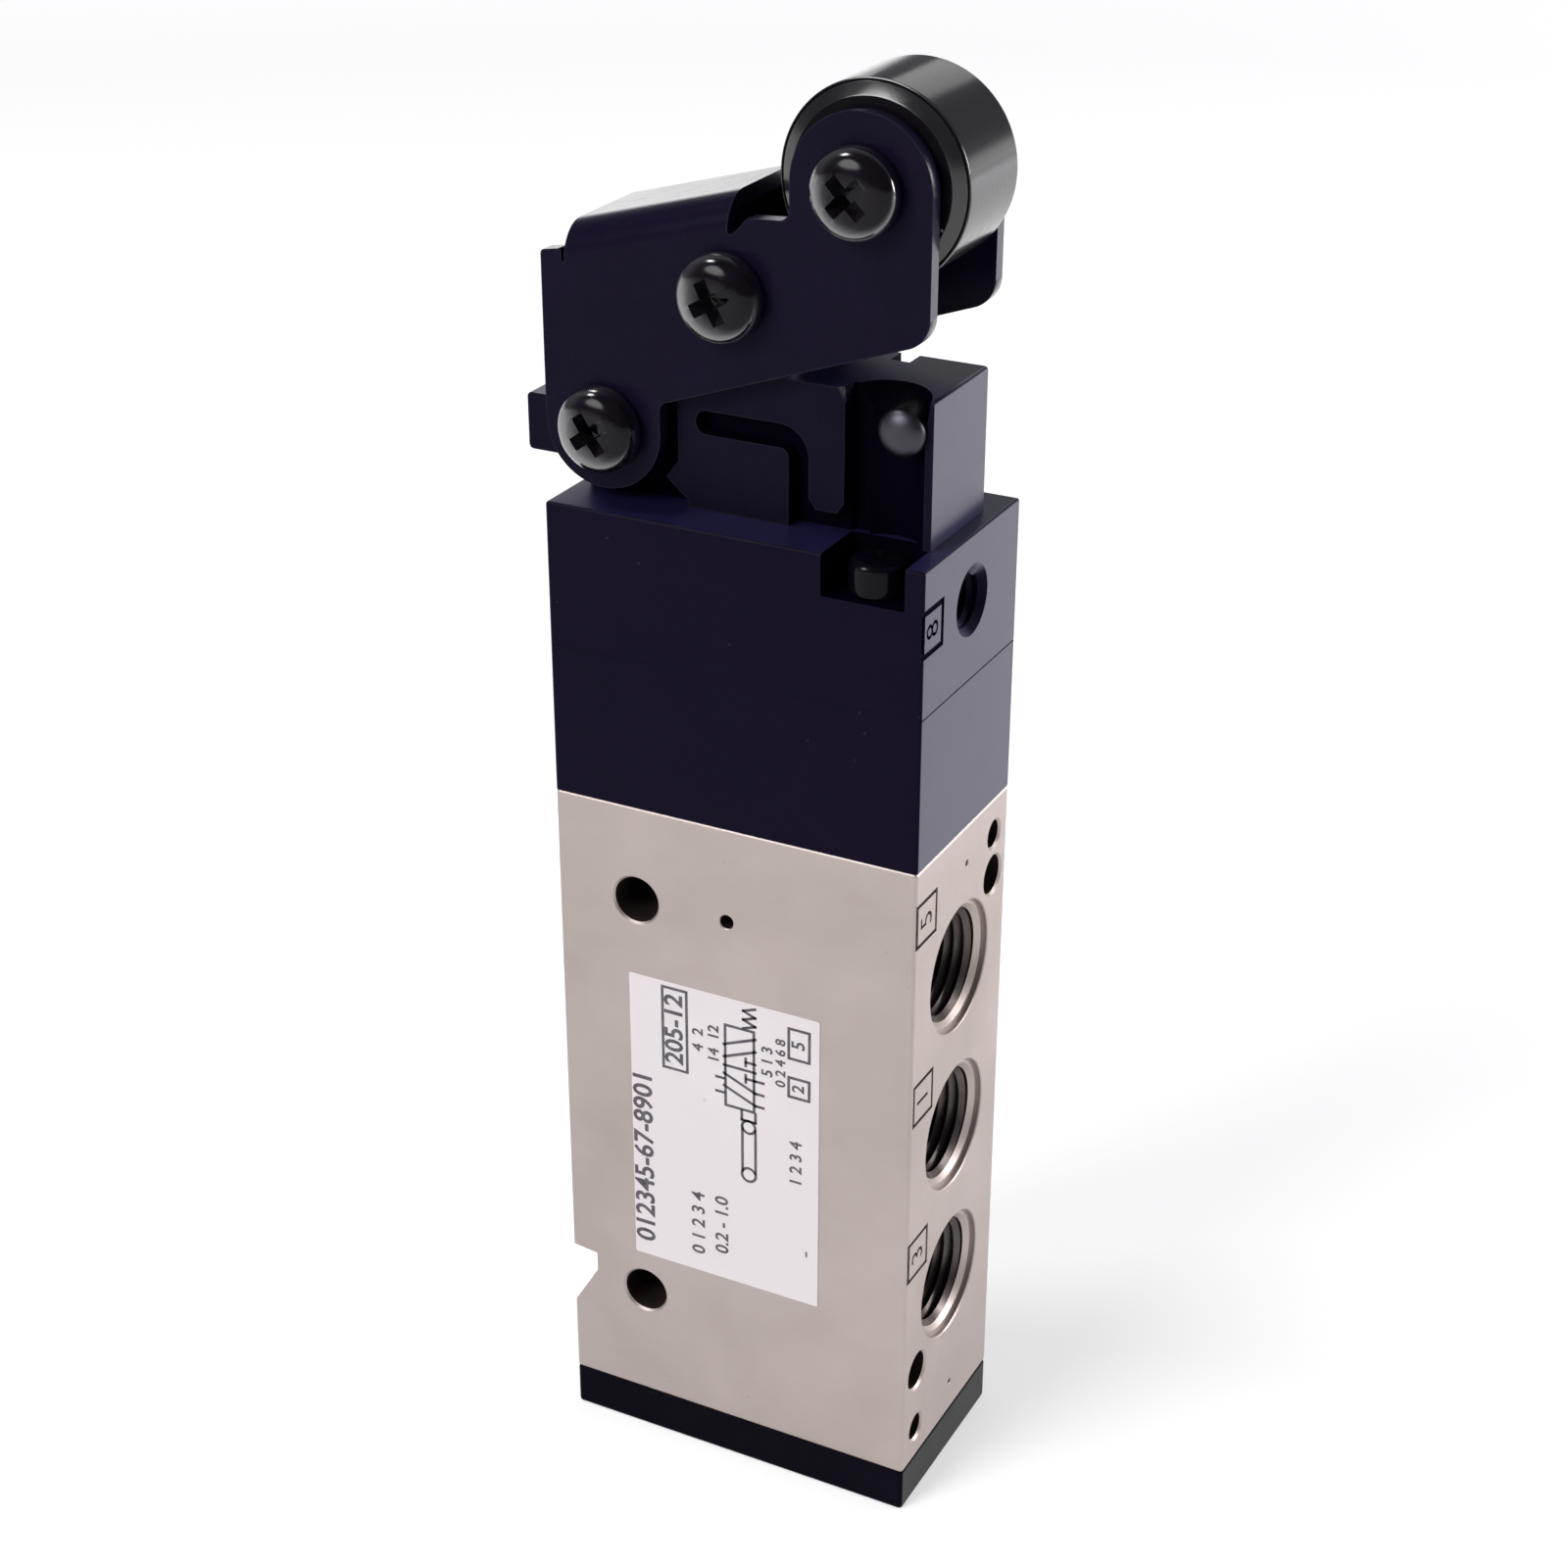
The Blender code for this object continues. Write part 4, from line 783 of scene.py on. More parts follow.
portSizes = {
    "inlets": (19.5, 34.9, 50.3),
    "outlets": (27.2, 42.6),
    "spotRadius": 5.73,
    "spotDepth": 0.5,
    "mouthChamfer": 0.42,
    "mouthRadius": 4.87,
    "endRadius": 4.6,
    "threadDepth": 8.6,
    "pitch": 0.907,
    "ridge": 0.44,
    "drillRadius": 3.0,
    "drillDepth": 12.5,
    "sides": 96,
}
bodySizes = {
    "edge": 0.32,
    "reach": 0.28,  # how far the block runs on into the gaskets' gaps
    "holeX": -9.0,
    "holeHeights": (15.0, 54.5),
    "holeRadius": 2.05,
    "holeChamfer": 0.18,
    "testHole": (-0.5, 54.6, 0.62),
    "notch": ((-1, 17.8), (2.5, 17.4), (2.5, 15.6), (-1, 9.7)),
    "taps": ((6.3, 59.7, 1.2), (6.3, 55.9, 1.7), (-6.3, 13.4, 1.7), (-6.3, 7.3, 1.2)),
    "tapDepth": 5.0,
    "punchDots": ((0.8, 59.6), (0.8, 7.3)),
    "punchRadius": 0.28,
    "boreRadius": 5.5,
}
markSizes = {"width": 3.9, "height": 4.0, "line": 0.34, "depth": 0.16, "digitHeight": 2.1}
bodyMarks = ((-6.9, 58.2, "5"), (-6.7, 41.4, "1"), (-6.9, 26.0, "3"))

bodyLow, bodyHigh = boxOf("main_body")


def portCutter(name, height, axis):
    sizes = portSizes
    spot = sizes["spotDepth"]
    side = bodyHigh.x if axis == "x" else bodyLow.x
    profile = [
        (0.0, 0.5), (sizes["spotRadius"] + 0.1, 0.5), (sizes["spotRadius"] + 0.1, 0.0),
        (sizes["spotRadius"], -0.1), (sizes["spotRadius"], -spot),
        (sizes["mouthRadius"] + sizes["mouthChamfer"], -spot),
        (sizes["mouthRadius"], -spot - sizes["mouthChamfer"]), (sizes["endRadius"], -sizes["threadDepth"]),
        (sizes["drillRadius"], -sizes["threadDepth"] - 0.9), (sizes["drillRadius"], -sizes["drillDepth"]),
        (0.0, -sizes["drillDepth"]),
    ]
    return lathe(name, profile, sizes["sides"], axis, (side, 0, height))


def roundCutter(name, radius, depth, axis, place, chamfer=0.15, sides=48, tip=0.0):
    # a drilled hole with a broken edge, measured in from the face that the place lies on
    profile = [
        (0.0, 0.6), (radius + chamfer, 0.6), (radius + chamfer, 0.0), (radius, -chamfer), (radius, -depth),
        (0.0, -depth - tip),
    ]
    return lathe(name, profile, sides, axis, place)


def markCutters(name, y, z, text, side, line=markSizes["line"]):
    sizes = markSizes
    depth = sizes["depth"]
    low = (side - depth, y - sizes["width"] / 2, z - sizes["height"] / 2)
    high = (side + depth, y + sizes["width"] / 2, z + sizes["height"] / 2)
    rim = frameSolid(name + "Rim", low, high, line)
    number = digits(name + "Number", text, sizes["digitHeight"], 2 * depth, "right", (side, y, z))
    return [rim, number]


def shadedInBody(middle, normal):
    # inside a port past its mouth, inside a hole, or on an engraved mark's floor on the port face: these take painted
    # shade, a dark brown-black in place of the metal
    sizes = portSizes
    heights = sizes["inlets"] if middle.x > 0 else sizes["outlets"]
    deep = bodyHigh.x - abs(middle.x)
    if deep > sizes["spotDepth"] + 0.25:
        for z in heights:
            if math.hypot(middle.y, middle.z - z) < sizes["mouthRadius"] + 0.1:
                return True
    if middle.x > 0 and deep > 0.12:
        if deep < 0.18 and abs(normal.x) > 0.9 and middle.y < -4.0:
            return True
        for y, z, radius in bodySizes["taps"]:
            if math.hypot(middle.y - y, middle.z - z) < radius + 0.1:
                return True
    if bodyHigh.y - abs(middle.y) > 0.12:
        for z in bodySizes["holeHeights"]:
            if math.hypot(middle.x - bodySizes["holeX"], middle.z - z) < bodySizes["holeRadius"] + 0.1:
                return True
        testX, testZ, testRadius = bodySizes["testHole"]
        return math.hypot(middle.x - testX, middle.z - testZ) < testRadius + 0.1
    return False


def buildBodyBlock():
    low = (bodyLow.x, bodyLow.y, bodyLow.z - bodySizes["reach"])
    high = (bodyHigh.x, bodyHigh.y, bodyHigh.z + bodySizes["reach"])
    body = block("body_block", low, high, bodySizes["edge"], 4)
    cutters = []
    for index, height in enumerate(portSizes["inlets"]):
        cutters.append(portCutter(f"inletCutter{index}", height, "x"))
    for index, height in enumerate(portSizes["outlets"]):
        cutters.append(portCutter(f"outletCutter{index}", height, "-x"))
    holeX, chamfer = bodySizes["holeX"], bodySizes["holeChamfer"]
    depth = bodyHigh.y - bodyLow.y
    for index, height in enumerate(bodySizes["holeHeights"]):
        radius = bodySizes["holeRadius"]
        profile = [
            (0.0, 0.6), (radius + chamfer, 0.6), (radius + chamfer, 0.0), (radius, -chamfer),
            (radius, -depth + chamfer), (radius + chamfer, -depth), (radius + chamfer, -depth - 0.6),
            (0.0, -depth - 0.6),
        ]
        cutters.append(lathe(f"holeCutter{index}", profile, 64, "-y", (holeX, bodyLow.y, height)))
    testX, testZ, testRadius = bodySizes["testHole"]
    cutters.append(roundCutter("testCutter", testRadius, 2.5, "-y", (testX, bodyLow.y, testZ), 0.08, 32))
    for index, (y, z, radius) in enumerate(bodySizes["taps"]):
        place = (bodyHigh.x, y, z)
        cutters.append(roundCutter(f"tapCutter{index}", radius, bodySizes["tapDepth"], "x", place, 0.2, 40, 0.6))
    for index, (y, z) in enumerate(bodySizes["punchDots"]):
        place = (bodyHigh.x, y, z)
        cutters.append(roundCutter(f"punchCutter{index}", bodySizes["punchRadius"], 0.3, "x", place, 0.05, 20))
    outline = [(bodyLow.x + x, z) for x, z in bodySizes["notch"]]
    cutters.append(prism("notchCutter", outline, bodyLow.y - 1, bodyHigh.y + 1))
    for y, z, text in bodyMarks:
        cutters += markCutters(f"mark{text}", y, z, text, bodyHigh.x)
    carve(body, cutters)
    carve(body, [rod("boreCutter", bodySizes["boreRadius"], 80, -5, 64)])
    dress(body, satinAluminium, "valve_body", ["main_body"])
    # the ports, holes and mark floors take the painted shade
    return coatInside(body, paintedBoreShade, shadedInBody)


def buildThreads():
    sizes = portSizes
    made = []
    places = [(1, z) for z in sizes["inlets"]] + [(-1, z) for z in sizes["outlets"]]
    length = sizes["threadDepth"] - sizes["spotDepth"] - 0.5
    for index, (side, height) in enumerate(places):
        axis = "x" if side > 0 else "-x"
        inner = abs(bodyHigh.x) - sizes["threadDepth"]
        place = Matrix.Translation(Vector((side * inner, 0, height)) * mm) @ axisTurns[axis]
        values = {
            "Mouth Radius": (sizes["mouthRadius"] + 0.03) * mm,
            "End Radius": (sizes["endRadius"] + 0.03) * mm,
            "Length": length * mm,
            "Turns": length / sizes["pitch"],
            "Ridge": sizes["ridge"] * mm,
            "Material": shadedThreadMetal,
        }
        made.append(growTree(f"thread{index}", threadRidge, values, place))
    threads = joinPieces("port_threads", made)
    return dress(threads, shadedThreadMetal, "valve_body", smooth=25.0, weigh=False)


buildBodyBlock()
buildThreads()
print("main body built")


# black blocks: end cover, piston housing and pilot body

coverLow, coverHigh = boxOf("end_cover")
housingLow, housingHigh = boxOf("piston_housing")
pilotLow, pilotHigh = boxOf("pilot_body")

blockSizes = {
    "edge": 0.25,
    "seam": 0.41,  # how far the two upper blocks run into each other, so that no light passes between them
    "coverReach": 0.13,
    "housingReach": 0.2,
    "stemRadius": 1.9,
    "shankRadius": 1.6,
    "grooveHalf": 0.06,
    "grooveDeep": 0.12,
    "cornerX": 11.3,
    "cornerY": -6.2,
    "notchFloor": 84.9,
    "notchHalf": 3.5,
    "notchDepth": 5.4,
    "exhaustZ": 82.9,
    "exhaustMouth": 2.94,
    "exhaustRadius": 2.35,
    "exhaustDepth": 6.0,
    "exhaustPitch": 0.8,
    "exhaustDrill": (1.2, 12.0),
    "exhaustRidge": 0.36,
    "coverEdge": 0.35,
    "coverScrewX": 12.2,
    "coverHole": (2.9, 2.6),
    "markPlace": (-7.25, 83.2),
    "markLine": 0.5,
}


def buildCover():
    sizes = blockSizes
    high = (coverHigh.x, coverHigh.y, coverHigh.z + sizes["coverReach"])
    cover = block("base_cover", coverLow, high, sizes["coverEdge"], 3)
    radius, depth = sizes["coverHole"]
    cutters = []
    for side in (-1, 1):
        place = (side * sizes["coverScrewX"], 0, 0)
        cutters.append(roundCutter(f"coverHole{side}", radius, depth, "-z", place, 0.2, 48))
    carve(cover, cutters)
    return dress(cover, coverResin, "valve_body", ["end_cover"])


def seamCutter():
    # the joint between the two blocks shows as a fine groove on the port side
    sizes = blockSizes
    half, deep, height = sizes["grooveHalf"], sizes["grooveDeep"], (housingHigh.z + pilotLow.z) / 2
    low = (housingHigh.x - deep, housingLow.y - 1, height - half)
    return block("seamCutter", low, (housingHigh.x + 1, housingHigh.y + 1, height + half))


def poppetBore():
    # the room inside both blocks for the travel of the poppet and of the plunger above it
    low, high = boxOf("poppet")
    centre = (low + high) / 2
    radius, stem = (high.x - low.x) / 2 + 0.2, blockSizes["stemRadius"]
    top, roof, foot = pilotHigh.z + 0.5, high.z + 0.3, low.z - 2.0
    profile = [(0, top), (stem, top), (stem, roof), (radius, roof), (radius, foot), (0, foot)]
    return lathe("poppetBore", profile, 40, "z", (centre.x, centre.y, 0))


def buildHousing():
    seam = blockSizes["seam"]
    low = (housingLow.x, housingLow.y, housingLow.z - blockSizes["housingReach"])
    high = (housingHigh.x, housingHigh.y, housingHigh.z + seam)
    housing = block("lower_housing", low, high, blockSizes["edge"], 3)
    carve(housing, [seamCutter()])
    carve(housing, [poppetBore()])
    return dress(housing, blackResin, "valve_body", ["piston_housing"])


def shadedInCorner(middle, normal):
    # the walls and floor of the two corner notches, and the floor of the stamped mark: these take painted shade, a
    # darker black
    sizes = blockSizes
    if normal.x > 0.9 and 0.1 < pilotHigh.x - middle.x < 0.2:
        return True
    side = -1 if middle.y < 0 else 1
    across = abs(-side * middle.x - sizes["cornerX"])
    deep = abs(middle.y) > pilotHigh.y - sizes["notchDepth"] - 0.02
    between = sizes["notchFloor"] - 0.05 < middle.z < pilotHigh.z - 0.3
    return between and deep and across < sizes["notchHalf"] + 0.02 and abs(middle.y) < pilotHigh.y - 0.3


def buildPilot():
    sizes = blockSizes
    low = (pilotLow.x, pilotLow.y, pilotLow.z - sizes["seam"])
    pilot = block("upper_housing", low, pilotHigh, sizes["edge"], 3)
    cutters = []
    for side in (1, -1):
        x = side * sizes["cornerX"]
        outer = side * (pilotLow.y - 1)
        inner = side * (pilotLow.y + sizes["notchDepth"])
        notchLow = (x - sizes["notchHalf"], min(outer, inner), sizes["notchFloor"])
        notchHigh = (x + sizes["notchHalf"], max(outer, inner), pilotHigh.z + 1)
        cutters.append(block(f"cornerCutter{side}", notchLow, notchHigh))
        y = side * sizes["cornerY"]
        cutters.append(rod(f"shankCutter{side}", sizes["shankRadius"], 1, -6, 40, "z", (x, y, sizes["notchFloor"])))
    mouth, radius, depth = sizes["exhaustMouth"], sizes["exhaustRadius"], sizes["exhaustDepth"]
    drill, end = sizes["exhaustDrill"]
    profile = [
        (0.0, 0.5), (mouth + 0.5, 0.5), (radius, radius - mouth), (radius, -depth), (drill, -depth - 0.8),
        (drill, -end), (0.0, -end),
    ]
    cutters.append(lathe("exhaustCutter", profile, 72, "x", (pilotHigh.x, 0, sizes["exhaustZ"])))
    cutters += markCutters("pilotMark", *sizes["markPlace"], "8", pilotHigh.x, sizes["markLine"])
    carve(pilot, cutters)
    carve(pilot, [seamCutter()])
    carve(pilot, [poppetBore()])
    dress(pilot, blackResin, "valve_body", ["pilot_body"])
    # the notch walls and the mark floor take the painted shade
    return coatInside(pilot, paintedPocketShade, shadedInCorner)


def buildExhaustThread():
    sizes = blockSizes
    inner = pilotHigh.x - sizes["exhaustDepth"]
    place = Matrix.Translation(Vector((inner, 0, sizes["exhaustZ"])) * mm) @ axisTurns["x"]
    length = sizes["exhaustDepth"] - 0.7
    values = {
        "Mouth Radius": (sizes["exhaustRadius"] + 0.02) * mm,
        "End Radius": (sizes["exhaustRadius"] + 0.02) * mm,
        "Length": length * mm,
        "Turns": length / sizes["exhaustPitch"],
        "Ridge": sizes["exhaustRidge"] * mm,
        "Material": blackResin,
    }
    thread = growTree("exhaust_thread", threadRidge, values, place)
    return dress(thread, blackResin, "valve_body", smooth=25.0, weigh=False)


buildCover()
buildHousing()
buildPilot()
buildExhaustThread()
print("black blocks built")


# screws, nuts and pins

def crossCutter(name, span, width, depth, axis, place, turn=0.0):
    # a cross recess: four tapering wings and a pointed middle
    made = []
    for angle in (0.0, math.pi / 2):
        top, low = span / 2, span / 2 - depth * 0.75
        half, foot = width / 2, width / 2 * 0.6
        points = [(-top, -half, 0.3), (top, -half, 0.3), (top, half, 0.3), (-top, half, 0.3)]
        points += [(-low, -foot, -depth), (low, -foot, -depth), (low, foot, -depth), (-low, foot, -depth)]
        faces = [(3, 2, 1, 0), (4, 5, 6, 7), (0, 1, 5, 4), (1, 2, 6, 5), (2, 3, 7, 6), (3, 0, 4, 7)]
        move = Matrix.Translation(place) @ axisTurns[axis] @ Matrix.Rotation(angle + turn, 4, "Z")
        made.append(addObject(f"{name}{len(made)}", meshFrom(name, [move @ Vector(p) for p in points], faces)))
    return made


screwSizes = {
    "headRadius": 3.45,
    "headHeight": 2.3,
    "shankRadius": 1.9,
    "recessSpan": 4.0,
    "recessWidth": 1.15,
    "recessDepth": 1.7,
    "nutAcross": 7.0,
}
# the pan head's curve from its crown to its rim, as shares of the radius and of the height
panCurve = ((0.0, 1.0), (0.30, 0.995), (0.52, 0.965), (0.70, 0.90), (0.84, 0.79), (0.93, 0.65))
panCurve += ((0.985, 0.48), (1.0, 0.30), (1.0, 0.10), (0.97, 0.0))
pivot = (-12.2, 94.4)
press = (-1.5, 106.3)
axle = (9.5, 115.4)


def buildPanScrew(name, node, centre, turn):
    sizes = screwSizes
    low, high = boxOf(node)
    head, tall, shank = sizes["headRadius"], sizes["headHeight"], sizes["shankRadius"]
    under = low.y + tall
    length = high.y - under
    profile = [(across * head, up * tall) for across, up in panCurve]
    profile += [
        (shank, 0.0), (shank, -length + 0.3), (shank - 0.3, -length), (0.0, -length),
    ]
    screw = lathe(name, profile, 64, "-y", (centre[0], under, centre[1]))
    place = (centre[0], low.y, centre[1])
    span, width, depth = sizes["recessSpan"], sizes["recessWidth"], sizes["recessDepth"]
    carve(screw, crossCutter("recess", span, width, depth, "-y", place, turn))
    return dress(screw, blackScrew, "lever", [node], smooth=28.0)


def buildNut(name, node, centre):
    low, high = boxOf(node)
    across = screwSizes["nutAcross"] / 2
    corner = across / math.cos(math.pi / 6)
    nut = rod(name, corner, high.y, low.y, 6, "y", (centre[0], 0, centre[1]))
    shape = [
        (0.0, high.y), (across - 0.1, high.y), (corner, high.y - 0.45), (corner, low.y + 0.2),
        (corner - 0.2, low.y), (0.0, low.y),
    ]
    carve(nut, [lathe(name + "Form", shape, 72, "y", (centre[0], 0, centre[1]))], "INTERSECT")
    bore = screwSizes["shankRadius"] + 0.12
    hole = [(0, 0.5), (bore + 0.3, 0.5), (bore + 0.3, 0.0), (bore, -0.3), (bore, -3.0), (0, -3.0)]
    carve(nut, [lathe(name + "Bore", hole, 48, "y", (centre[0], high.y, centre[1]))])
    return dress(nut, blackScrew, "lever", [node], smooth=28.0)


def buildCheeseScrew(name, node, headUp, material):
    # an upright screw with a rounded cheese head and a cross recess
    low, high = boxOf(node)
    centre = (low + high) / 2
    head = (high.x - low.x) / 2
    up = 1 if headUp else -1
    tall = 2.6 if headUp else 1.9
    under = high.z - tall if headUp else low.z + tall
    shank = 1.2 if headUp else 1.3
    length = (high.z - low.z) - tall
    profile = [
        (0.0, tall), (head - 0.75, tall - 0.02), (head - 0.4, tall - 0.12), (head - 0.12, tall - 0.38),
        (head, tall - 0.75), (head, 0.0), (shank, 0.0), (shank, -length + 0.3), (shank - 0.3, -length),
        (0.0, -length),
    ]
    axis = "z" if up > 0 else "-z"
    screw = lathe(name, profile, 56, axis, (centre.x, centre.y, under))
    place = (centre.x, centre.y, under + up * tall)
    carve(screw, crossCutter("recess", head * 1.15, 0.62, 0.95, axis, place, 0.5))
    return dress(screw, material, "valve_body", [node], smooth=28.0)


def buildStopPin():
    low, high = boxOf("stop_pin")
    radius = (high.x - low.x) / 2
    half = high.y
    crown = 1.0
    rise = [(radius * math.sin(a), half - crown * (1 - math.cos(a))) for a in [math.pi / 2 * k / 8 for k in range(9)]]
    profile = rise + [(r, -h) for r, h in reversed(rise)]
    centre = (low + high) / 2
    pin = lathe("pin_stop", profile, 64, "y", (centre.x, 0, centre.z))
    turnedPin = makeFinish("pin_steel", ringed(pinLook, centre, alongY, 9000.0, 0.6, 0.3))
    return dress(pin, turnedPin, "valve_body", ["stop_pin"])


for title, node, centre, turn in (
    ("screw_pivot", "pivot_screw", pivot, 0.62), ("screw_press", "press_screw", press, 0.50),
    ("screw_axle", "axle_screw", axle, 0.78),
):
    buildPanScrew(title, node, centre, turn)
for title, node, centre in (
    ("nut_pivot", "pivot_nut", pivot), ("nut_press", "press_nut", press), ("nut_axle", "axle_nut", axle),
):
    buildNut(title, node, centre)
# the corner screws wear the darker, painted-shade copy of the screw finish
for side in ("front", "rear"):
    buildCheeseScrew(f"corner_screw_{side}", f"pilot_body_screw_{side}", True, paintedShadeScrew)
for side in ("left", "right"):
    buildCheeseScrew(f"cover_screw_{side}", f"end_cover_screw_{side}", False, brightSteel)
buildStopPin()
print("screws built")


# head casting

castingSizes = {
    "half": 4.9,
    "bottom": 88.32,
    "top": 100.0,
    "left": -15.4,
    "right": 15.0,
    "edge": 0.26,
    "setBack": 1.4,
    "slotDepth": 1.9,
    "slot": (7.7, 9.3),
    "arch": (-5.0, 4.7, 96.4),
    "pad": (-6.6, 3.0, 94.5),
    "bossRadius": 4.3,
    "lug": (-20.2, 90.8, 95.5),
    "ribEnd": 90.0,
    "driverRadius": 3.3,
    "driverMouth": (10.95, -6.2, 3.9, 4.9),
    "driverMouthZ": 97.4,
    "pin": (12.6, 97.5, 1.93),
    "plungerX": -0.6,
    "pivotHole": 3.15,
    "bushSeat": (4.7, 98.6),
    "bushBore": 3.2,
    "gasketSeat": (4.6, 89.5),
}


def castingOutline():
    sizes = castingSizes
    bossLeft, bossTop = pivot[0] - 5.2, pivot[1] + 5.0
    padLeft = sizes["pad"][0]
    lugLeft, lugLow, lugTop = sizes["lug"]
    return arcOutline(
        [
            (sizes["left"], sizes["bottom"], 0), (sizes["right"], sizes["bottom"], 0),
            (sizes["right"], sizes["top"], 0.3), (padLeft - 0.2, sizes["top"], 0.5),
            (padLeft - 0.8, bossTop, 0), (bossLeft, bossTop, 3.8), (bossLeft, lugTop, 0),
            (lugLeft, lugTop, 0.4), (lugLeft, lugLow, 0.4), (sizes["left"] - 1.0, lugLow, 1.0),
        ]
    )


def castingPockets(below):
    # the set-back faces: the arch over the pad, beside the boss, under the rib, and the upright slot
    sizes = castingSizes
    archLeft, archRight, archTop = sizes["arch"]
    padLeft, padRight, padTop = sizes["pad"]
    ribEnd, left = sizes["ribEnd"], sizes["left"]
    slotLeft, slotRight = sizes["slot"]
    arch = arcOutline(
        [
            (archLeft, padTop, 0.9), (padRight, padTop, 0.7), (padRight, below, 0), (archRight, below, 0),
            (archRight, archTop, 2.5), (archLeft, archTop, 0.9),
        ]
    )
    boss = [(padLeft + 0.8, below), (padLeft + 0.8, 88.9), (padLeft - 1.1, 90.5), (padLeft, 92.0)]
    boss.append((padLeft, pivot[1] + sizes["bossRadius"]))
    for step in range(31):
        angle = math.radians(55 - 6 * step)
        x, z = sizes["bossRadius"] * math.cos(angle), sizes["bossRadius"] * math.sin(angle)
        boss.append((pivot[0] + x, pivot[1] + z))
    boss += [(left - 1, ribEnd), (left - 2, ribEnd), (left - 2, below)]
    ribLeft, ribRight = archRight - 0.1, slotLeft + 0.1
    rib = [
        (ribLeft, below), (ribRight, below), (ribRight, ribEnd + 1), (ribRight - 0.7, ribEnd),
        (ribLeft + 0.7, ribEnd), (ribLeft, ribEnd + 1),
    ]
    slot = [(slotLeft, below), (slotRight, below), (slotRight, 101.0), (slotLeft, 101.0)]
    return [(arch, sizes["setBack"]), (boss, sizes["setBack"]), (rib, sizes["setBack"]), (slot, sizes["slotDepth"])]


def driverMouth(name, side):
    # the driver groove widens towards the top face
    sizes = castingSizes
    mouthX, mouthY, wide, deep = sizes["driverMouth"]
    radius = sizes["driverRadius"] - 0.02
    rows = (
        (blockSizes["cornerX"], blockSizes["cornerY"], radius, radius, sizes["driverMouthZ"]),
        (mouthX, mouthY, wide, deep, sizes["top"]), (mouthX, mouthY, wide, deep, sizes["top"] + 2),
    )
    count = 64
    points = []
    for x, y, across, along, z in rows:
        for step in range(count):
            angle = 2 * math.pi * step / count
            points.append((side * (x + across * math.cos(angle)), side * (y + along * math.sin(angle)), z))
    faces = [tuple(range(count)), tuple(range(3 * count - 1, 2 * count - 1, -1))]
    for row in (0, 1):
        for step in range(count):
            after = (step + 1) % count
            first, second = row * count, (row + 1) * count
            faces.append((first + step, first + after, second + after, second + step))
    return addObject(name, meshFrom(name, points, faces))


def shadedInPocket(middle, normal):
    # the set-back faces, the pockets' walls, and the driver grooves below their mouths: these take painted shade, a
    # darker black
    sizes = castingSizes
    low = abs(middle.y)
    if abs(normal.y) > 0.5:
        return low < sizes["half"] - sizes["edge"] - 0.1
    side = -1 if middle.y < 0 else 1
    reach = math.hypot(-side * middle.x - blockSizes["cornerX"], -side * middle.y - blockSizes["cornerY"])
    if abs(normal.z) < 0.4 and reach < sizes["driverRadius"] + 0.05:
        return middle.z < sizes["driverMouthZ"] - 2.0
    walls = sizes["half"] - sizes["slotDepth"] - 0.05 < low < sizes["half"] - sizes["edge"] - 0.02
    outer = middle.x > sizes["right"] - 0.1 or middle.z > sizes["top"] - 0.1 or middle.x < sizes["left"]
    return walls and not outer and sizes["bottom"] + 0.1 < middle.z


def buildCasting():
    sizes = castingSizes
    half, bottom, top = sizes["half"], sizes["bottom"], sizes["top"]
    below, above = bottom - 1, top + 2
    casting = prism("head_casting", castingOutline(), -half, half)
    pinX, pinZ, pinRadius = sizes["pin"]
    plungerX = sizes["plungerX"]
    cutters = []
    for side in (-1, 1):
        for index, (outline, depth) in enumerate(castingPockets(below)):
            inner, outer = side * (half - depth), side * (half + 1)
            cutters.append(prism(f"pocketCutter{index}{side}", outline, min(inner, outer), max(inner, outer)))
        x, y = -side * blockSizes["cornerX"], -side * blockSizes["cornerY"]
        cutters.append(rod(f"driverCutter{side}", sizes["driverRadius"], above, below, 72, "z", (x, y, 0)))
        cutters.append(driverMouth(f"mouthCutter{side}", -side))
    cutters.append(rod("pinCutter", pinRadius, 8, -8, 56, "y", (pinX, 0, pinZ)))
    cutters.append(rod("pivotCutter", sizes["pivotHole"], 8, -8, 56, "y", (pivot[0], 0, pivot[1])))
    (flange, flangeLow), bore, (gasket, gasketTop) = sizes["bushSeat"], sizes["bushBore"], sizes["gasketSeat"]
    seat = [(0, above), (flange, above), (flange, flangeLow), (bore, flangeLow)]
    seat += [(bore, gasketTop), (gasket, gasketTop), (gasket, below), (0, below)]
    cutters.append(lathe("bushCutter", seat, 64, "z", (plungerX, 0, 0)))
    carve(casting, cutters)
    soften(casting, sizes["edge"], 3, 35.0)
    dress(casting, blackCasting, "valve_body", ["head_bracket"], smooth=40.0)
    # the pockets, slots and driver grooves take the painted shade
    return coatInside(casting, paintedPocketShade, shadedInPocket)


buildCasting()
print("head casting built")


# lever

leverSizes = {
    "half": 6.5,
    "sheet": 1.2,
    "bend": 2.6,
    "pivotEar": 5.1,
    "pivotEarLeft": -17.5,
    "pivotEarLow": 89.3,
    "axleEar": 5.7,
    "corner": 2.5,
    "footZ": 96.9,
    "footSlope": 0.355,
    "webLeft": (-15.4, 109.9),
    "webRight": (-1.3, 113.8),
    "relief": 2.9,
    "plateLeft": 107.7,
    "plateRight": 112.5,
    "hole": 2.1,
    "edge": 0.14,
}


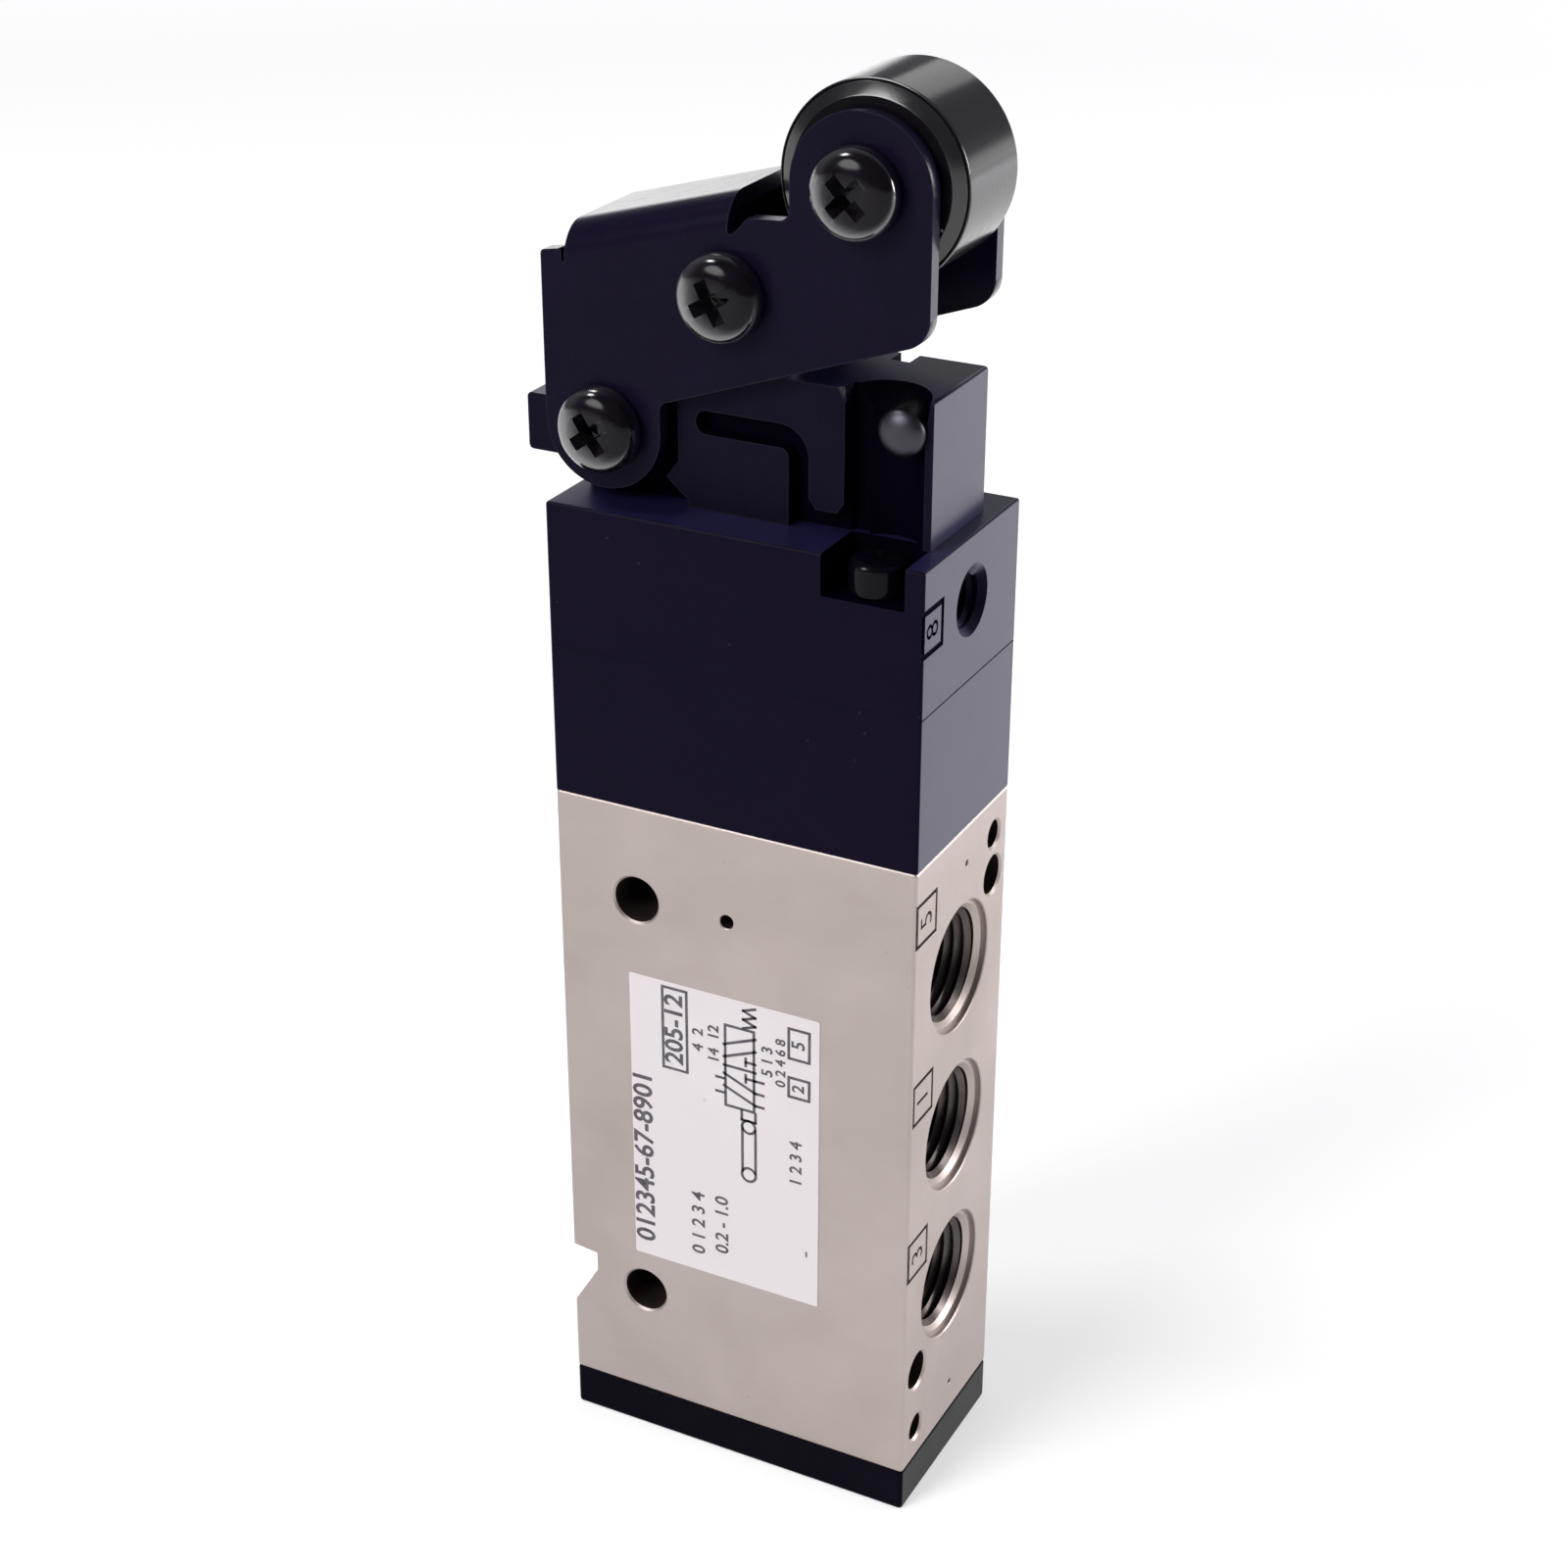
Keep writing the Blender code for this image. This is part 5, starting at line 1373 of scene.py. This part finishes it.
def leverOutline():
    sizes = leverSizes
    axleX, axleZ = axle
    small, large = sizes["pivotEar"], sizes["axleEar"]
    left, low = sizes["pivotEarLeft"], sizes["pivotEarLow"]
    earRight, right = left + 2 * small, axleX + large
    (webLeft, webLeftTop), (webRight, webRightTop) = sizes["webLeft"], sizes["webRight"]
    plateLeft, plateRight, relief = sizes["plateLeft"], sizes["plateRight"], sizes["relief"]
    return arcOutline(
        [
            (left, low, small), (earRight, low, small), (earRight, sizes["footZ"], 0.8),
            (right, sizes["footZ"] + sizes["footSlope"] * (right - earRight), sizes["corner"]),
            (right, axleZ + large, large), (axleX - large, axleZ + large, large),
            (axleX - large, plateRight, 0.8), (webRight + 1.7, plateRight - 0.2, 0.3),
            (webRight + 0.4, webRightTop - relief, 0), (webRight, webRightTop - relief, 0),
            (webRight, webRightTop, 0), (webLeft, webLeftTop, 0), (webLeft, webLeftTop - relief, 0),
            (webLeft - 0.25, webLeftTop - relief, 0), (webLeft - 0.3, plateLeft + 0.3, 0.2),
            (left, plateLeft, 0.4),
        ],
        4.0,
    )


def channelOutline():
    sizes = leverSizes
    (leftX, leftZ), (rightX, rightZ) = sizes["webLeft"], sizes["webRight"]
    drop = sizes["sheet"] / math.cos(math.atan2(rightZ - leftZ, rightX - leftX))
    low, high, far = 80.0, 130.0, 40.0
    return [
        (-far, low), (far, low), (far, high), (rightX, high), (rightX, rightZ - drop), (leftX, leftZ - drop),
        (leftX, high), (-far, high),
    ]


def roundBend(piece, radius, half, ends):
    # rounds the two long edges along the web, where the sheet is bent
    shape = bmesh.new()
    shape.from_mesh(piece.data)
    marks = [Vector((x * mm, z * mm)) for x, z in ends]
    edges = []
    for edge in shape.edges:
        sameSide = abs(edge.verts[0].co.y - edge.verts[1].co.y) < 1e-6
        onLine = all(
            abs(abs(v.co.y) - half * mm) < 1e-6 and min((Vector((v.co.x, v.co.z)) - m).length for m in marks) < 1e-6
            for v in edge.verts
        )
        if sameSide and onLine:
            edges.append(edge)
    bmesh.ops.bevel(shape, geom=edges, offset=radius * mm, segments=12, profile=0.5, affect="EDGES")
    shape.to_mesh(piece.data)
    shape.free()


def buildLever():
    sizes = leverSizes
    half, sheet, hole = sizes["half"], sizes["sheet"], sizes["hole"]
    lever = prism("lever_channel", leverOutline(), -half, half)
    roundBend(lever, sizes["bend"], half, (sizes["webLeft"], sizes["webRight"]))
    inside = channelOutline()
    channel = prism("channelCutter", inside, -half + sheet, half - sheet)
    roundBend(channel, sizes["bend"] - sheet, half - sheet, (inside[5], inside[4]))
    cutters = [channel]
    for index, (x, z) in enumerate((pivot, press, axle)):
        cutters.append(rod(f"leverHole{index}", hole, 9, -9, 48, "y", (x, 0, z)))
    carve(lever, cutters)
    soften(lever, sizes["edge"], 2, 45.0)
    return dress(lever, blackSheet, "lever", ["lever"], smooth=40.0)


buildLever()
print("lever built")


# rollers and bushes

rollerSizes = {
    "half": 4.8,
    "face": (6.35, 4.8),
    "chamferEnd": (7.32, 4.24),
    "line": (7.40, 4.14),
    "rimEdge": (7.60, 4.02),
    "bore": 3.12,
}


def onRollerRim(middle, normal):
    # the chamfer between the end face and the tread, and the fine edge outside it
    reach = math.hypot(middle.x - axle[0], middle.z - axle[1])
    return reach > rollerSizes["face"][0] and 0.2 < abs(normal.y) < 0.97


def buildEndRoller():
    sizes = rollerSizes
    half, bore = sizes["half"], sizes["bore"]
    faceRadius, faceHalf = sizes["face"]
    endRadius, endHalf = sizes["chamferEnd"]
    lineRadius, lineHalf = sizes["line"]
    rimRadius, rimHalf = sizes["rimEdge"]
    side = [
        (bore, half - 0.12), (bore + 0.14, half - 0.03), (bore + 0.26, half), (faceRadius - 0.10, faceHalf),
        (faceRadius + 0.03, faceHalf - 0.025), (faceRadius + 0.12, faceHalf - 0.075),
        (endRadius - 0.05, endHalf + 0.03), (endRadius, endHalf - 0.01), (endRadius + 0.01, lineHalf - 0.06),
        (lineRadius, lineHalf - 0.06), (lineRadius + 0.02, endHalf - 0.02), (rimRadius - 0.10, endHalf - 0.03),
        (rimRadius - 0.03, endHalf - 0.07), (rimRadius, rimHalf),
    ]
    profile = side + [(r, -h) for r, h in reversed(side)]
    roller = lathe("roller_end", profile, 128, "y", (axle[0], 0, axle[1]), ring=True)
    rollerSteel = makeFinish("roller_steel", ringed(rollerLook, (axle[0], 0, axle[1]), alongY, 7000.0, 0.75, 0.3))
    dress(roller, rollerSteel, "end_roller", ["end_roller"], smooth=28.0)
    return coatInside(roller, polishedRim, onRollerRim)


def buildBush(name, node, body, inner, material, chamfer=0.2):
    low, high = boxOf(node)
    centre = (low + high) / 2
    outer = (high.x - low.x) / 2
    half = (high.y - low.y) / 2
    profile = [
        (outer - chamfer, half), (outer, half - chamfer), (outer, -half + chamfer), (outer - chamfer, -half),
        (inner + 0.1, -half), (inner, -half + 0.1), (inner, half - 0.1), (inner + 0.1, half),
    ]
    bush = lathe(name, profile, 64, "y", (centre.x, centre.y, centre.z), ring=True)
    return dress(bush, material, body, [node], smooth=28.0)


plungerStem = ((1.9, 95.6), (2.8, 95.6), (2.8, 94.2), (1.4, 94.2), (1.4, 80.8))


def buildPlunger():
    low, high = boxOf("plunger")
    centre = (low + high) / 2
    top = high.z
    profile = [
        (0.0, top), (1.2, top - 0.02), (2.1, top - 0.12), (2.7, top - 0.38), (2.9, top - 0.7), (2.9, top - 1.0),
        (1.9, top - 1.1), *plungerStem,
        (1.1, low.z), (0.0, low.z),
    ]
    plunger = lathe("plunger_rod", profile, 56, "z", (centre.x, 0, 0))
    return dress(plunger, darkSteel, "plunger", ["plunger"], smooth=28.0)


buildEndRoller()
buildBush("roller_press", "press_roller", "press_roller", 2.05, darkSteel, 0.3)
buildBush("bush_pivot", "pivot_bush", "lever", 2.1, brightSteel)
buildBush("bush_axle", "axle_bush", "lever", 2.1, brightSteel)
buildPlunger()
print("rollers built")


# label: a generic flow diagram and plain numbers, reading up the column

labelSizes = {
    "left": -9.8,
    "right": 8.1,
    "bottom": 19.1,
    "top": 47.5,
    "thick": 0.055,
    "corner": 0.15,
    "inkThick": 0.012,
    "thin": 0.25,
    "boldRow": 0.05,
    "boldText": 0.03,
    "sink": 0.004,
}


def inkLine(start, end, width):
    # a straight stroke between two points (x, z) on the label
    face = bodyLow.y - labelSizes["thick"]
    a, b = Vector(start), Vector(end)
    along = (b - a).normalized() * width / 2
    side = Vector((-along.y, along.x))
    outline = [a - along - side, b + along - side, b + along + side, a - along + side]
    return prism("ink", outline, face - labelSizes["inkThick"], face + labelSizes["sink"])


def inkRing(centre, radius, width):
    face = bodyLow.y - labelSizes["thick"]
    profile = [
        (radius + width / 2, labelSizes["inkThick"]), (radius + width / 2, -labelSizes["sink"]),
        (radius - width / 2, -labelSizes["sink"]), (radius - width / 2, labelSizes["inkThick"]),
    ]
    return lathe("ink", profile, 28, "-y", (centre[0], face, centre[1]), ring=True)


def inkFrame(left, right, bottom, top, width):
    face = bodyLow.y - labelSizes["thick"]
    low, high = (left, face - labelSizes["inkThick"], bottom), (right, face + labelSizes["sink"], top)
    return frameSolid("ink", low, high, width)


def inkDigits(text, height, x, z, bold=labelSizes["boldText"]):
    face = bodyLow.y - labelSizes["thick"] - labelSizes["inkThick"] / 2
    return digits("ink", text, height, labelSizes["inkThick"], "front", (x, face, z), bold)


def inkPath(points, width):
    return [inkLine(a, b, width) for a, b in zip(points, points[1:])]


def buildLabel():
    sizes = labelSizes
    outline = arcOutline(
        [
            (sizes["left"], sizes["bottom"], sizes["corner"]),
            (sizes["right"], sizes["bottom"], sizes["corner"]), (sizes["right"], sizes["top"], sizes["corner"]),
            (sizes["left"], sizes["top"], sizes["corner"]),
        ],
        15.0,
    )
    plate = prism("label_plate", outline, bodyLow.y - sizes["thick"], bodyLow.y + 0.02)
    return dress(plate, labelFilm, "valve_body")


def valveSymbol():
    # the standard drawing of a five port, two position valve with a roller lever and a spring
    thin, bold = labelSizes["thin"], 0.26
    left, right = -0.8, 2.15
    bottom, middle, top = 36.9, 40.95, 45.0
    marks = [inkFrame(left, right, bottom, top, thin), inkLine((left, middle), (right, middle), thin)]
    for cell in (bottom, middle):
        ends = [cell + share * (middle - bottom) for share in (0.2, 0.5, 0.8)]
        starts, stops, spare = (ends[:2], ends[1:], ends[0]) if cell == middle else (ends[1:], ends[:2], ends[2])
        for start, stop in zip(starts, stops):
            marks.append(inkLine((left, start), (right, stop), bold))
        marks.append(inkLine((right - 0.9, spare), (right, spare), thin))
        marks.append(inkLine((right - 0.9, spare - 0.35), (right - 0.9, spare + 0.35), thin))
    for z in (37.71, 38.93, 40.14):
        marks.append(inkLine((right, z), (right + 0.75, z), thin))
    for z in (38.2, 39.6):
        marks.append(inkLine((left - 0.75, z), (left, z), thin))
    zigzag = [(right if k % 2 else right - 1.1, top + 0.42 * k) for k in range(6)]
    marks += inkPath(zigzag, thin)
    foot = bottom - 0.9
    marks += inkPath([(right, bottom), (right, foot), (right - 1.3, foot), (right - 1.3, bottom)], thin)
    for x in (right, right - 1.25):
        marks.append(inkLine((x, 35.2), (x, 30.9), thin))
    marks.append(inkRing((1.5, 35.4), 0.62, thin))
    marks.append(inkRing((1.5, 30.6), 0.66, thin))
    return marks


boldRows = (("012345-67-8901", 1.85, -8.65, 29.3), ("205-12", 1.7, -5.5, 43.05))
plainRows = (  # text, height, x, z
    ("4  2", 1.0, -3.25, 42.7), ("14  12", 1.0, -1.75, 42.7), ("5 1 3", 1.0, 3.3, 42.4),
    ("0 2 4 6 8", 0.9, 4.55, 42.6), ("0 1 2 3 4", 1.25, -3.4, 24.1), ("0.2 - 1.0", 1.25, -1.1, 24.6),
    ("5", 1.2, 6.2, 44.75), ("2", 1.1, 6.2, 40.55), ("1 2 3 4", 1.1, 6.0, 33.1),
)
textFrames = ((-6.75, -4.2, 39.0, 47.1), (5.15, 7.3, 43.2, 46.3), (5.15, 7.3, 39.5, 41.6))


def numberRows():
    marks = [inkDigits(*row, labelSizes["boldRow"]) for row in boldRows]
    marks += [inkDigits(*row) for row in plainRows]
    marks += [inkFrame(*corners, labelSizes["thin"]) for corners in textFrames]
    return marks + [inkLine((7.0, 24.0), (7.0, 24.4), 0.15)]


def buildPrint():
    printed = joinPieces("label_print", valveSymbol() + numberRows())
    return dress(printed, labelInk, "valve_body", weigh=False)


buildLabel()
buildPrint()
print("label built")


# what stays as packed: finishes for the inner pieces

keptFinishes = {"spool": machinedAluminium, "piston": blackResin}
for finish, names in (
    (turnedBrass, ("guide_bush", "poppet_seat")),
    (brightSteel, ("plunger_spring", "poppet_spring", "spool_spring", "seal_washer")),
    (darkSteel, ("bracket_screw_left", "bracket_screw_right")),
):
    keptFinishes.update(dict.fromkeys(names, finish))
for node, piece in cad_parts.items():
    if piece.hide_render:
        continue
    piece.data.materials.clear()
    piece.data.materials.append(keptFinishes.get(node, blackRubber))
print("inner pieces finished")


# floor, world and lamps

stageSettings = {
    "floorHalf": 3.0,
    "floorColour": (0.80, 0.80, 0.81),
    "floorLift": 0.44,
    "floorFade": (0.6, 1.8),
    "skyLow": (0.10, 0.10, 0.11),
    "skyHigh": (0.16, 0.165, 0.175),
    "skyTop": 0.75,
    "backdropEdge": (0.02, 0.09),
}
lampSettings = (
    # name, place, target, size, power, colour
    ("overheadLamp", (-0.46, -0.22, 0.86), (0, 0, 0.08), 0.20, 2.4, (1.0, 0.99, 0.98)),
    ("rightLamp", (0.80, 0.58, 0.26), (0, 0, 0.06), 0.40, 9.0, (1.0, 0.975, 0.985)),
    ("frontLamp", (-0.40, -0.90, 0.68), (0, 0, 0.05), 0.60, 8.8, (1.0, 0.99, 0.98)),
    ("leftBackLamp", (-0.62, 0.80, 0.30), (0, 0, 0.10), 0.40, 0.42, (1.0, 0.99, 1.0)),
    ("backLamp", (-0.15, 0.95, 0.55), (0, 0, 0.10), 0.40, 0.30, (1.0, 1.0, 1.0)),
)


def buildFloor():
    half = stageSettings["floorHalf"]
    mesh = bpy.data.meshes.new("paleFloor")
    mesh.from_pydata([(-half, -half, 0), (half, -half, 0), (half, half, 0), (-half, half, 0)], [], [(0, 1, 2, 3)])
    floor = addObject("paleFloor", mesh)
    material = bpy.data.materials.new("pale_floor")
    material.use_nodes = True
    tree = material.node_tree
    shader = tree.nodes["Principled BSDF"]
    path = addNode(tree, "ShaderNodeLightPath").outputs
    seen = addMath(tree, "ADD", path["Is Camera Ray"], path["Is Glossy Ray"])
    seen = addMath(tree, "ADD", seen, path["Is Transmission Ray"], clamp=True)
    away = addNode(tree, "ShaderNodeVectorMath", {0: objectPoint(tree)}, operation="LENGTH").outputs["Value"]
    near, far = stageSettings["floorFade"]
    values = {"Value": away, "From Min": near, "From Max": far, "To Min": stageSettings["floorLift"]}
    lift = addNode(tree, "ShaderNodeMapRange", values).outputs["Result"]
    white = (1.0, 1.0, 1.0, 1.0)
    fill(tree, shader, {"Emission Color": white, "Emission Strength": addMath(tree, "MULTIPLY", seen, lift)})
    fill(tree, shader, {"Base Color": (*stageSettings["floorColour"], 1.0)})
    fill(tree, shader, {"Roughness": 0.9, "Specular IOR Level": 0.0})
    mesh.materials.append(material)


def buildWorld():
    # a soft room, with a white backdrop for what the camera sees and for reflections near the horizon
    world = bpy.data.worlds.new("studioWorld")
    world.use_nodes = True
    tree = world.node_tree
    direction = addNode(tree, "ShaderNodeTexCoord").outputs["Generated"]
    up = addNode(tree, "ShaderNodeSeparateXYZ", {0: direction}).outputs["Z"]
    rise = addNode(tree, "ShaderNodeMapRange", {"Value": up, "From Min": 0.0, "From Max": stageSettings["skyTop"]})
    colour = mixColour(tree, rise.outputs["Result"], stageSettings["skyLow"], stageSettings["skyHigh"])
    low, high = stageSettings["backdropEdge"]
    values = {"Value": up, "From Min": low, "From Max": high, "To Min": 1.0, "To Max": 0.0}
    horizon = addNode(tree, "ShaderNodeMapRange", values).outputs["Result"]
    path = addNode(tree, "ShaderNodeLightPath").outputs
    mirrored = addMath(tree, "ADD", path["Is Glossy Ray"], path["Is Transmission Ray"], clamp=True)
    mirrored = addMath(tree, "MULTIPLY", mirrored, horizon)
    seen = addMath(tree, "ADD", path["Is Camera Ray"], mirrored, clamp=True)
    backdrop = mixColour(tree, seen, colour, (1.0, 1.0, 1.0))
    tree.links.new(backdrop, tree.nodes["Background"].inputs["Color"])
    bpy.context.scene.world = world


def addLamp(name, place, target, size, power, colour):
    light = bpy.data.lights.new(name, "AREA")
    light.shape = "DISK"
    light.size = size
    light.energy = power
    light.color = colour
    lamp = bpy.data.objects.new(name, light)
    lamp.visible_camera = False
    lamp.location = place
    lamp.rotation_euler = (Vector(target) - Vector(place)).to_track_quat("-Z", "Y").to_euler()
    bpy.context.scene.collection.objects.link(lamp)


buildFloor()
buildWorld()
for settings in lampSettings:
    addLamp(*settings)
print("stage lit")
